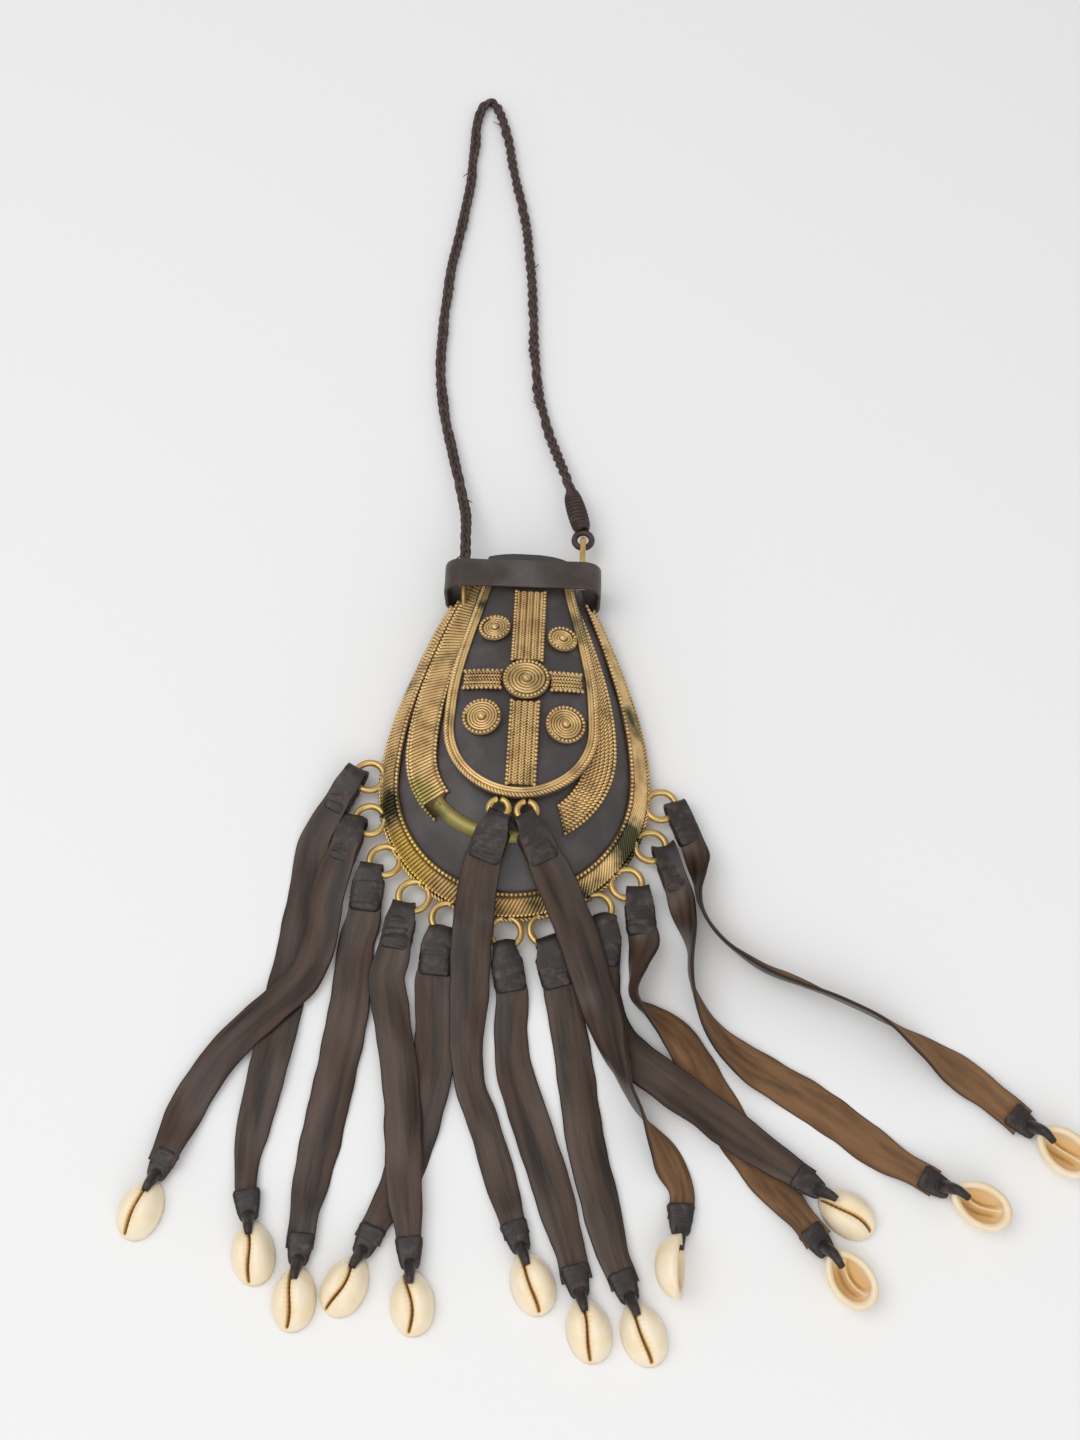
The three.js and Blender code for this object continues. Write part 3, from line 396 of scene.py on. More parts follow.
# Strips from loop to shell: bound width; x, y, z, width and roll in degrees; the shell's x, y and turn
STRIPS = (
    {
        "bound": 0.01,
        "route": (
            (-0.0686, -0.043, 0.0014, 0.011, 0), (-0.0694, -0.065, 0.001, 0.013, 0),
            (-0.0725, -0.093, 0.001, 0.013, 0), (-0.0745, -0.111, 0.001, 0.013, 0),
            (-0.0775, -0.13, 0.001, 0.012, 0), (-0.0795, -0.145, 0.0013, 0.01, 0),
            (-0.0795, -0.157, 0.0026, 0.007, 0),
        ),
        "shell": (-0.075, -0.179, 0),
    },
    {
        "bound": 0.0106,
        "route": (
            (-0.0595, -0.054, 0.0056, 0.0114, 0), (-0.062, -0.064, 0.0038, 0.012, 0),
            (-0.0635, -0.08, 0.0033, 0.012, 0), (-0.0675, -0.091, 0.0033, 0.012, 0),
            (-0.076, -0.1005, 0.0033, 0.012, 0), (-0.086, -0.111, 0.0033, 0.012, 0),
            (-0.095, -0.123, 0.0022, 0.012, 0), (-0.1015, -0.137, 0.001, 0.012, 0),
            (-0.105, -0.148, 0.0024, 0.009, 0),
        ),
        "shell": (-0.1115, -0.167, 0),
    },
    {
        "bound": 0.0114,
        "route": (
            (-0.0494, -0.071, 0.002, 0.0118, 0), (-0.051, -0.08, 0.001, 0.0126, 0),
            (-0.0515, -0.1, 0.001, 0.0134, 0), (-0.0546, -0.126, 0.001, 0.0134, 0),
            (-0.0585, -0.153, 0.001, 0.0124, 0), (-0.06, -0.167, 0.0024, 0.009, 0),
        ),
        "shell": (-0.061, -0.192, 0),
    },
    {
        "bound": 0.011,
        "route": (
            (-0.038, -0.083, 0.0046, 0.0116, 0), (-0.0396, -0.091, 0.0033, 0.012, 0),
            (-0.0375, -0.101, 0.0033, 0.012, 0), (-0.034, -0.117, 0.0033, 0.012, 0),
            (-0.0315, -0.133, 0.0033, 0.012, 0), (-0.03, -0.149, 0.0035, 0.012, 0),
            (-0.0285, -0.161, 0.0042, 0.011, 0), (-0.027, -0.17, 0.0036, 0.008, 0),
        ),
        "shell": (-0.0245, -0.192, 0),
    },
    {
        "bound": 0.012,
        "route": (
            (-0.024, -0.091, 0.0022, 0.013, 0), (-0.023, -0.103, 0.001, 0.013, 0),
            (-0.0225, -0.118, 0.001, 0.013, 0), (-0.0245, -0.132, 0.001, 0.013, 0),
            (-0.0278, -0.145, 0.001, 0.013, 0), (-0.0315, -0.157, 0.001, 0.012, 0),
            (-0.0366, -0.167, 0.0024, 0.009, 0),
        ),
        "shell": (-0.0455, -0.1876, 0),
    },
    {
        "bound": 0.011,
        "route": (
            (0.0022, -0.095, 0.0022, 0.011, 0), (0.0022, -0.106, 0.001, 0.011, 0),
            (0.0032, -0.116, 0.001, 0.0116, 0), (0.0065, -0.127, 0.001, 0.0124, 0),
            (0.011, -0.139, 0.001, 0.0126, 0), (0.0155, -0.151, 0.001, 0.0124, 0),
            (0.0195, -0.163, 0.001, 0.012, 0), (0.0235, -0.175, 0.0024, 0.0096, 0),
        ),
        "shell": (0.0298, -0.198, 0),
    },
    {
        "bound": 0.012,
        "route": (
            (0.0186, -0.093, 0.0022, 0.012, 0), (0.021, -0.105, 0.001, 0.0122, 0),
            (0.0245, -0.123, 0.001, 0.0124, 0), (0.0268, -0.139, 0.001, 0.0124, 0),
            (0.0305, -0.153, 0.001, 0.0122, 0), (0.034, -0.166, 0.001, 0.012, 0),
            (0.0375, -0.177, 0.0024, 0.0096, 0),
        ),
        "shell": (0.0465, -0.1985, 0),
    },
    {
        "bound": 0.012,
        "route": (
            (0.0318, -0.086, 0.0022, 0.012, 0), (0.0324, -0.094, 0.001, 0.012, 0),
            (0.0354, -0.1045, 0.001, 0.0124, 0), (0.0424, -0.114, 0.0034, 0.013, 0),
            (0.0544, -0.123, 0.0054, 0.013, 0), (0.065, -0.13, 0.0046, 0.013, 0),
            (0.075, -0.137, 0.004, 0.0126, 0), (0.086, -0.1445, 0.0042, 0.011, 0),
            (0.093, -0.149, 0.005, 0.009, 0),
        ),
        "shell": (0.11, -0.1605, 0),
    },
    {
        "bound": 0.0105,
        "route": (
            (0.045, -0.076, 0.006, 0.011, 30), (0.043, -0.085, 0.0069, 0.012, 64),
            (0.042, -0.094, 0.007, 0.0126, 90), (0.048, -0.1, 0.006, 0.0126, 122),
            (0.057, -0.107, 0.003, 0.012, 160), (0.0665, -0.1215, 0.001, 0.0126, 180),
            (0.077, -0.1395, 0.001, 0.0126, 180), (0.088, -0.154, 0.001, 0.0116, 180),
            (0.0955, -0.1625, 0.0024, 0.009, 180),
        ),
        "shell": (0.1095, -0.181, 180),
    },
    {
        "bound": 0.009,
        "route": (
            (0.058, -0.061, 0.0062, 0.0096, 30), (0.06, -0.0695, 0.0068, 0.011, 64),
            (0.0608, -0.078, 0.007, 0.0126, 88), (0.0606, -0.086, 0.007, 0.0126, 92),
            (0.062, -0.093, 0.0069, 0.0126, 102), (0.0665, -0.103, 0.0061, 0.0126, 122),
            (0.074, -0.111, 0.0047, 0.0126, 146), (0.087, -0.1185, 0.0019, 0.0126, 176),
            (0.105, -0.129, 0.001, 0.013, 180), (0.1215, -0.141, 0.001, 0.012, 180),
            (0.1295, -0.146, 0.0024, 0.009, 180),
        ),
        "shell": (0.151, -0.1575, 180),
    },
    {
        "bound": 0.009,
        "route": (
            (0.0635, -0.0455, 0.0064, 0.0096, 40), (0.0646, -0.052, 0.0069, 0.011, 74),
            (0.0644, -0.059, 0.007, 0.0126, 92), (0.0668, -0.0665, 0.007, 0.0126, 102),
            (0.0735, -0.075, 0.0069, 0.0126, 106), (0.0845, -0.0825, 0.0066, 0.0126, 112),
            (0.097, -0.088, 0.0066, 0.0126, 112), (0.1115, -0.094, 0.0069, 0.0126, 104),
            (0.124, -0.0995, 0.0066, 0.0126, 108), (0.136, -0.1065, 0.0056, 0.0126, 132),
            (0.1485, -0.115, 0.0025, 0.0126, 168), (0.158, -0.1225, 0.0026, 0.01, 180),
        ),
        "shell": (0.1785, -0.14, 180),
    },
    {
        "bound": 0.012,
        "route": (
            (-0.0088, -0.0545, 0.0226, 0.0126, 0), (-0.0098, -0.059, 0.0196, 0.0134, 0),
            (-0.0108, -0.0645, 0.0154, 0.0136, 0), (-0.0114, -0.071, 0.0106, 0.0136, 0),
            (-0.012, -0.08, 0.008, 0.0136, 0), (-0.012, -0.09, 0.0052, 0.0132, 0),
            (-0.012, -0.1, 0.0034, 0.0126, 0), (-0.012, -0.112, 0.0032, 0.011, 0),
            (-0.0103, -0.124, 0.002, 0.01, 0), (-0.004, -0.14, 0.001, 0.01, 0),
            (0.002, -0.157, 0.001, 0.01, 0), (0.0046, -0.165, 0.0024, 0.008, 0),
        ),
        "shell": (0.0122, -0.185, 0),
    },
    {
        "bound": 0.0116,
        "route": (
            (0.0118, -0.0544, 0.0227, 0.0124, 0), (0.0142, -0.0582, 0.0198, 0.0134, 0),
            (0.017, -0.063, 0.0158, 0.0136, 0), (0.0208, -0.07, 0.0114, 0.0136, 0),
            (0.0244, -0.0785, 0.0086, 0.0136, 0), (0.0286, -0.09, 0.0056, 0.0132, 0),
            (0.0324, -0.102, 0.0064, 0.0128, 24), (0.0364, -0.115, 0.0086, 0.0126, 62),
            (0.0402, -0.125, 0.008, 0.0126, 86), (0.045, -0.133, 0.007, 0.0126, 96),
            (0.0502, -0.1405, 0.0058, 0.0126, 124), (0.0546, -0.1475, 0.0032, 0.011, 156),
            (0.058, -0.155, 0.0024, 0.008, 180),
        ),
        "shell": (0.0575, -0.179, 104),
    },
)

# The strap's line from the left shoulder round to the whipped end
STRAP_ROUTE = (
    (-0.0214, 0.0626, 0.0124), (-0.0218, 0.072, 0.0108), (-0.0226, 0.086, 0.008), (-0.0252, 0.0995, 0.0056),
    (-0.0286, 0.1135, 0.004), (-0.032, 0.128, 0.003), (-0.0347, 0.141, 0.0025), (-0.036, 0.152, 0.0023),
    (-0.0368, 0.163, 0.0023), (-0.0366, 0.181, 0.0023), (-0.036, 0.192, 0.0023), (-0.0352, 0.2065, 0.0023),
    (-0.033, 0.2225, 0.0023), (-0.031, 0.2385, 0.0023), (-0.0296, 0.252, 0.0023), (-0.029, 0.27, 0.0023),
    (-0.0286, 0.284, 0.0023), (-0.027, 0.293, 0.0023), (-0.0238, 0.297, 0.0023), (-0.0206, 0.2946, 0.0023),
    (-0.0177, 0.287, 0.0023), (-0.0146, 0.275, 0.0023), (-0.0118, 0.2585, 0.0023),
    (-0.0083, 0.2435, 0.0023), (-0.0057, 0.2305, 0.0023), (-0.0035, 0.213, 0.0023),
    (-0.0015, 0.1925, 0.0023), (-0.0004, 0.173, 0.0023), (0.0015, 0.1535, 0.0023), (0.004, 0.139, 0.0027),
    (0.0082, 0.124, 0.0038), (0.0132, 0.1095, 0.0054), (0.0162, 0.0994, 0.0069),
)


# Sizes and colours that the sidebar offers
def length_of(name, description, default):
    return FloatProperty(name=name, description=description, default=default, min=0.0001, unit="LENGTH")


def colour_of(name, description, default):
    return FloatVectorProperty(
        name=name, description=description, default=default, min=0.0, max=1.0, size=3, subtype="COLOR"
    )


class PouchSizes(bpy.types.PropertyGroup):
    """Sizes of the pieces that the scene adds."""

    strip_thickness: length_of("Strip thickness", "Thickness of the leather strips", 0.0011)
    strand_radius: length_of("Strand radius", "Radius of one strand of the braided strap", 0.00098)
    loop_wire: length_of("Loop wire", "Radius of the wire of the brass loops", 0.0012)
    rope_radius: length_of("Rope radius", "Radius of one laid rope of the bands", 0.0009)
    bead_radius: length_of("Bead radius", "Radius of the beads along the bands", 0.00075)
    coil_wire: length_of("Coil wire", "Radius of the wire of the coiled discs", 0.00048)


class PouchColours(bpy.types.PropertyGroup):
    """Colours of the leather, brass, shell and table, as linear values."""

    leather: colour_of("Leather", "Pouch and flap leather", (0.054, 0.046, 0.047))
    # Lighter places on pouch, flap and keeper leather: rubbed wear and painted sheen
    leather_wear_and_sheen: colour_of("Rubbed leather", "Rubbed places on the leather", (0.1, 0.083, 0.08))
    grain: colour_of("Strip grain", "Grain side of the strips", (0.021, 0.0135, 0.0105))
    # Lighter streaks and patches on strips and bindings: rubbed wear and painted sheen
    grain_wear_and_sheen: colour_of("Strip streaks", "Rubbed streaks on the strips", (0.092, 0.057, 0.038))
    flesh: colour_of("Strip flesh", "Flesh side of the strips", (0.245, 0.13, 0.06))
    binding: colour_of("Binding", "Bound ends of the strips", (0.02, 0.014, 0.013))
    keeper: colour_of("Keeper", "Keeper band", (0.042, 0.028, 0.022))
    strap: colour_of("Strap", "Braided strap", (0.044, 0.024, 0.02))
    strap_light: colour_of("Strap wear", "Rubbed strands of the strap", (0.12, 0.075, 0.058))
    brass: colour_of("Brass", "Antique brass of the wirework", (0.8, 0.57, 0.26))
    # Dark brass: tarnish, and painted shade in the recesses of the wirework
    brass_tarnish_and_shade: colour_of("Dark brass", "Tarnish in the brass", (0.13, 0.075, 0.028))
    patina: colour_of("Patina", "Dark green patina on the brass", (0.07, 0.068, 0.03))
    wear: colour_of("Worn brass", "Bright yellow where the brass is rubbed", (0.85, 0.62, 0.16))
    bare: colour_of("Bare strip", "Yellow-green strip where the wirework is lost", (0.44, 0.37, 0.12))
    loop: colour_of("Loop brass", "Worn bright brass of the loops", (0.62, 0.42, 0.14))
    shell: colour_of("Shell", "Face of the cowries", (0.9, 0.78, 0.58))
    amber: colour_of("Shell hollow", "Inside of the cowries", (0.8, 0.52, 0.2))
    # Dark brown painted as shade in the slit; the lines in the hollow take it too
    shell_dark: colour_of("Shell slit", "Slit of the cowries", (0.2, 0.1, 0.03))
    table: colour_of("Table", "White table", (0.86, 0.86, 0.86))


def sizes():
    return bpy.context.scene.pouch_sizes


def colours():
    return bpy.context.scene.pouch_colours


# Mesh building
class Shape:
    """Vertices and faces gathered for one mesh; lay is run, share across and seed on a strip."""

    def __init__(self):
        self.verts = []
        self.faces = []
        self.slots = []
        self.lays = []
        self.count = 0

    def add(self, verts, faces, slot=0, lay=None):
        verts = np.asarray(verts, dtype=float)
        self.verts.append(verts)
        self.lays.append(np.zeros((len(verts), 3)) if lay is None else lay)
        self.faces.extend(tuple(i + self.count for i in face) for face in faces)
        self.slots.extend(slot if isinstance(slot, list) else [slot] * len(faces))
        self.count += len(verts)

    def build(self, name, materials):
        mesh = bpy.data.meshes.new(name)
        mesh.from_pydata(np.concatenate(self.verts).tolist(), [], self.faces)
        for material in materials:
            mesh.materials.append(material)
        mesh.polygons.foreach_set("material_index", self.slots)
        mesh.polygons.foreach_set("use_smooth", [True] * len(mesh.polygons))
        lays = np.concatenate(self.lays).astype(np.float32)
        if lays.any():
            layer = mesh.attributes.new("lay", "FLOAT_VECTOR", "POINT")
            layer.data.foreach_set("vector", lays.reshape(-1))
        mesh.update()
        piece = bpy.data.objects.new(name, mesh)
        bpy.context.scene.collection.objects.link(piece)
        return piece


def settle(piece, nodes, body="pouch"):
    """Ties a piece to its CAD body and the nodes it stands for."""
    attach(piece, body)
    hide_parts(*nodes)
    return piece


def unit(v):
    v = np.asarray(v, dtype=float)
    return v / np.maximum(np.linalg.norm(v, axis=-1, keepdims=True), 1e-12)


def grid_faces(rows, columns, closed=False):
    faces = []
    wide = columns if closed else columns - 1
    for i in range(rows - 1):
        for j in range(wide):
            k = (j + 1) % columns
            faces.append((i * columns + j, i * columns + k, (i + 1) * columns + k, (i + 1) * columns + j))
    return faces


def run_of(points):
    """Distance along a line at each of its points."""
    return np.concatenate([[0], np.cumsum(np.linalg.norm(np.diff(points, axis=0), axis=1))])


def resample(points, step):
    """Points at even steps along a line; columns after the third follow along."""
    points = np.asarray(points, dtype=float)
    run = run_of(points[:, :3])
    count = max(2, int(round(run[-1] / step)) + 1)
    want = np.linspace(0, run[-1], count)
    return np.stack([np.interp(want, run, points[:, k]) for k in range(points.shape[1])], axis=1)


def spread(values, count):
    """Rows of values, spread evenly to another count."""
    want = np.linspace(0, len(values) - 1, count)
    place = np.arange(len(values))
    return np.stack([np.interp(want, place, values[:, k]) for k in range(values.shape[1])], axis=1)


def catmull(points, per=8):
    """A smooth line through points of any number of columns."""
    p = np.asarray(points, dtype=float)
    p = np.concatenate([[2 * p[0] - p[1]], p, [2 * p[-1] - p[-2]]])
    t = np.linspace(0, 1, per, endpoint=False)[:, None]
    line = []
    for i in range(1, len(p) - 2):
        a, b, c, d = p[i - 1], p[i], p[i + 1], p[i + 2]
        square = 2 * a - 5 * b + 4 * c - d
        cube = 3 * b - a - 3 * c + d
        line.append(0.5 * (2 * b + (c - a) * t + square * t**2 + cube * t**3))
    return np.concatenate(line + [p[-2:-1]])


def sweep(shape, points, ups, radius, sides=6, slot=0):
    """A round tube along points, with an up direction at each."""
    points = np.asarray(points, dtype=float)
    along = unit(np.gradient(points, axis=0))
    side = unit(np.cross(along, ups))
    up = np.cross(side, along)
    angle = np.linspace(0, 2 * math.pi, sides, endpoint=False)
    radius = np.broadcast_to(np.asarray(radius, dtype=float), (len(points),))
    ring = np.cos(angle)[None, :, None] * up[:, None, :] + np.sin(angle)[None, :, None] * side[:, None, :]
    verts = (points[:, None, :] + radius[:, None, None] * ring).reshape(-1, 3)
    faces = grid_faces(len(points), sides, closed=True)
    last = (len(points) - 1) * sides
    faces.append(tuple(range(sides)))
    faces.append(tuple(last + j for j in reversed(range(sides))))
    shape.add(verts, faces, slot)


def rope(shape, points, ups, radius, pitch, hand=1):
    """Two strands laid round each other along a line."""
    line = resample(np.concatenate([points, ups], axis=1), pitch / ROPE_STEPS)
    points, ups = line[:, :3], unit(line[:, 3:])
    along = unit(np.gradient(points, axis=0))
    side = unit(np.cross(along, ups))
    step = np.arange(len(points))
    for k in range(2):
        turn = math.pi * (2 * step / ROPE_STEPS + k) * hand
        out = np.cos(turn)[:, None] * ups + np.sin(turn)[:, None] * side
        sweep(shape, points + out * radius * ROPE_OFFSET, out, radius * ROPE_STRAND, ROPE_SIDES)


def ball(rows=5, columns=8):
    verts = [(0, 0, 1)]
    for i in range(1, rows):
        a = math.pi * i / rows
        for j in range(columns):
            b = 2 * math.pi * j / columns
            verts.append((math.sin(a) * math.cos(b), math.sin(a) * math.sin(b), math.cos(a)))
    verts.append((0, 0, -1))
    last = len(verts) - 1
    faces = []
    for j in range(columns):
        k = (j + 1) % columns
        faces.append((0, 1 + j, 1 + k))
        faces.append((last, last - columns + k, last - columns + j))
        for i in range(rows - 2):
            a = 1 + i * columns
            faces.append((a + j, a + columns + j, a + columns + k, a + k))
    return np.array(verts), faces


def beads(shape, points, radius, slot=0):
    line = resample(points, radius * BEAD_SPACING)
    verts, faces = ball()
    for p in line:
        shape.add(verts * radius + p, faces, slot)


def rough(points, scale, reach):
    """Uneven offsets for hand-made surfaces."""
    return np.array([noise.noise(Vector(p) * scale) for p in points]) * reach


def flutter(run, scale, across, seed):
    """Uneven values along a run."""
    return np.array([noise.noise(Vector((r * scale, across, seed))) for r in run])


def plate_solid(shape, rows, slot):
    """A thin closed plate through the lines of its section."""
    count, sides = len(rows[0]), len(rows)
    faces = grid_faces(count, sides, closed=True)
    faces.append(tuple(reversed(range(sides))))
    faces.append(tuple((count - 1) * sides + j for j in range(sides)))
    shape.add(np.stack(rows, axis=1).reshape(-1, 3), faces, slot)


def pear_solid(shape, rows):
    """A closed form through rows of points that all run from the left of the mouth round to the right."""
    count = len(rows[0])
    faces = grid_faces(len(rows), count)
    last = (len(rows) - 1) * count
    for i in range(count // 2):
        quad = (i, i + 1, count - 2 - i, count - 1 - i)
        faces.append(tuple(dict.fromkeys(reversed(quad))))
        faces.append(tuple(dict.fromkeys(last + q for q in quad)))
    starts = [k * count for k in range(len(rows))]
    faces.append(tuple(starts + [k + count - 1 for k in reversed(starts)]))
    shape.add(np.concatenate(rows), [f for f in faces if len(f) > 2])


# The pouch's form
def bezier(a, b, c, d, count):
    t = np.linspace(0, 1, count)[:, None]
    a, b, c, d = (np.array(p, dtype=float) for p in (a, b, c, d))
    return (1 - t) ** 3 * a + 3 * (1 - t) ** 2 * t * b + 3 * (1 - t) * t**2 * c + t**3 * d


SIDE = bezier(
    (POUCH_RADIUS, POUCH_CENTRE_Y),
    (POUCH_RADIUS, POUCH_CENTRE_Y + SIDE_RISE),
    (NECK_HALF + SIDE_LEAN, MOUTH_Y - SIDE_RUN),
    (NECK_HALF, MOUTH_Y),
    SIDE_POINTS,
)


def smooth(t):
    t = np.clip(t, 0, 1)
    return t * t * (3 - 2 * t)


def back_z(y):
    """Height of the pouch's back, which lifts off the table towards the neck."""
    return NECK_LIFT * smooth((y - NECK_LIFT_Y) / NECK_LIFT_RUN)


def front_z(x, y):
    """Height of the pouch's front."""
    x, y = np.asarray(x, dtype=float), np.asarray(y, dtype=float)
    half = np.interp(y, SIDE[:, 1], SIDE[:, 0])
    share = np.where(y < POUCH_CENTRE_Y, np.hypot(x, y - POUCH_CENTRE_Y) / POUCH_RADIUS, np.abs(x) / half)
    swell = np.maximum(0, 1 - share**SWELL_POWER) ** SWELL_ROUND
    rim = RIM_HEIGHT + back_z(y)
    fall = smooth((y - CREST_FALL_Y) / (MOUTH_Y - CREST_FALL_Y))
    crest = FRONT_CREST + (NECK_CREST - FRONT_CREST) * fall
    return rim + (crest - rim) * swell


def pear(
    x=0.0,
    y=POUCH_CENTRE_Y,
    radius=POUCH_RADIUS,
    neck=NECK_HALF,
    top=MOUTH_Y,
    rise=SIDE_RISE,
    lean=SIDE_LEAN,
    run=SIDE_RUN,
):
    """A pear-shaped line in plan, from the left of the mouth round the bottom to the right."""
    shoulder, hip = (x - neck - lean, top - run), (x - radius, y + rise)
    left = bezier((x - neck, top), shoulder, hip, (x - radius, y), PEAR_SIDE_POINTS)
    angle = np.linspace(math.pi, 2 * math.pi, PEAR_ARC_POINTS)[1:-1]
    arc = np.stack([x + radius * np.cos(angle), y + radius * np.sin(angle)], axis=1)
    right = left[::-1] * (-1, 1) + (2 * x, 0)
    line = np.concatenate([left, arc, right])
    return resample(line, run_of(line)[-1] / PEAR_POINTS)


RIM = pear()
EDGE_INNER = pear(radius=0.0393, neck=NECK_HALF - 0.0015, lean=0.008)
BAND_OUTER = pear(x=-0.0014, y=-0.0142, radius=0.0355, neck=0.0145, rise=0.026, lean=0.008)
BAND_INNER = pear(x=-0.0012, y=-0.0155, radius=0.025, neck=0.008, rise=0.024, lean=0.006)
SPINE = pear(y=-0.015, radius=0.012, neck=0.004, rise=0.024, lean=0.003)


def flap_line(inset, top):
    """The flap's outline in plan, at an inset from its edge."""
    return pear(
        x=FLAP_X, y=FLAP_CENTRE_Y, radius=FLAP_RADIUS - inset, neck=FLAP_NECK_HALF - inset, top=top,
        rise=FLAP_RISE, lean=FLAP_LEAN, run=FLAP_RUN,
    )


def lay(line, lift):
    """Points on the front above a plan line, with the front's outward direction at each."""
    x, y = line[:, 0], line[:, 1]
    reach = SLOPE_REACH
    slope_x = (front_z(x + reach, y) - front_z(x - reach, y)) / (2 * reach)
    slope_y = (front_z(x, y + reach) - front_z(x, y - reach)) / (2 * reach)
    normal = unit(np.stack([-slope_x, -slope_y, np.ones(len(x))], axis=1))
    normal = unit(normal + UP * LAY_TILT)
    points = np.stack([x, y, front_z(x, y)], axis=1)
    return points + normal * lift, normal


def between(a, b, share):
    return a + (b - a) * share


# Finishes
def shade(colour, share):
    return [share * v for v in colour]


def tree_of(name):
    material = bpy.data.materials.new(name)
    material.use_nodes = True
    nodes, links = material.node_tree.nodes, material.node_tree.links
    return material, nodes, links, nodes["Principled BSDF"]


def lay_node(nodes, links):
    """The lay of a mesh, whole and as separate values."""
    made = nodes.new("ShaderNodeAttribute")
    made.attribute_name = "lay"
    axes = nodes.new("ShaderNodeSeparateXYZ")
    links.new(made.outputs["Vector"], axes.inputs["Vector"])
    return made.outputs["Vector"], axes.outputs


def noise_node(nodes, links, place, scale, detail=4.0, stretch=None):
    made = nodes.new("ShaderNodeTexNoise")
    made.inputs["Scale"].default_value = scale
    made.inputs["Detail"].default_value = detail
    source = place
    if stretch:
        mapping = nodes.new("ShaderNodeMapping")
        mapping.inputs["Scale"].default_value = stretch
        links.new(place, mapping.inputs["Vector"])
        source = mapping.outputs["Vector"]
    links.new(source, made.inputs["Vector"])
    return made.outputs["Fac"]


def ramp_node(nodes, links, factor, low, high):
    made = nodes.new("ShaderNodeMapRange")
    made.inputs["From Min"].default_value = low
    made.inputs["From Max"].default_value = high
    links.new(factor, made.inputs["Value"])
    return made.outputs["Result"]


def mix_node(nodes, links, factor, a, b):
    made = nodes.new("ShaderNodeMix")
    made.data_type = "RGBA"
    links.new(factor, made.inputs["Factor"])
    for socket, value in ((made.inputs["A"], a), (made.inputs["B"], b)):
        if hasattr(value, "links"):
            links.new(value, socket)
        else:
            socket.default_value = (*value, 1.0)
    return made.outputs["Result"]


def bump_node(nodes, links, height, strength, distance):
    made = nodes.new("ShaderNodeBump")
    made.inputs["Strength"].default_value = strength
    made.inputs["Distance"].default_value = distance
    links.new(height, made.inputs["Height"])
    return made.outputs["Normal"]


def leather(name, dark, light, roughness, scale, low, high, grain=0.35):
    """Leather with lighter places, rubbed wear and painted sheen, where its noise lies between low and high.
    """
    material, nodes, links, shader = tree_of(name)
    place = nodes.new("ShaderNodeTexCoord").outputs["Object"]
    # Lighter noise patches: rubbed wear and painted sheen
    wear_and_sheen = ramp_node(nodes, links, noise_node(nodes, links, place, scale, 5.0), low, high)
    links.new(mix_node(nodes, links, wear_and_sheen, dark, light), shader.inputs["Base Color"])
    fine = noise_node(nodes, links, place, GRAIN_SCALE, 3.0)
    links.new(bump_node(nodes, links, fine, grain, GRAIN_DEPTH), shader.inputs["Normal"])
    shader.inputs["Roughness"].default_value = roughness
    shader.inputs["Specular IOR Level"].default_value = LEATHER_GLOSS
    return material


def strip_leather(name, dark, light, roughness, streak=STREAKS):
    """Leather of the strips, with rubbed streaks that run along them, broad lighter patches of uneven tone
    and painted sheen, and darker edges.
    """
    material, nodes, links, shader = tree_of(name)
    place, axes = lay_node(nodes, links)
    streaks = ramp_node(nodes, links, noise_node(nodes, links, place, 1.0, 7.0, streak), *STREAK_RANGE)
    tone = mix_node(nodes, links, streaks, dark, light)
    # Broad lighter patches: uneven tone and painted sheen
    broad = ramp_node(nodes, links, noise_node(nodes, links, place, 1.0, 3.0, PATCHES), *PATCH_RANGE)
    tone = mix_node(nodes, links, broad, tone, light)
    reach = nodes.new("ShaderNodeMath")
    reach.operation = "ABSOLUTE"
    links.new(axes["Y"], reach.inputs[0])
    edge = ramp_node(nodes, links, reach.outputs["Value"], *STRIP_EDGE_RANGE)
    tone = mix_node(nodes, links, edge, tone, shade(dark, STRIP_EDGE_TONE))
    links.new(tone, shader.inputs["Base Color"])
    fibres = noise_node(nodes, links, place, 1.0, 5.0, FIBRES)
    links.new(bump_node(nodes, links, fibres, FIBRE_STRENGTH, FIBRE_DEPTH), shader.inputs["Normal"])
    shader.inputs["Roughness"].default_value = roughness
    shader.inputs["Specular IOR Level"].default_value = STRIP_GLOSS
    return material


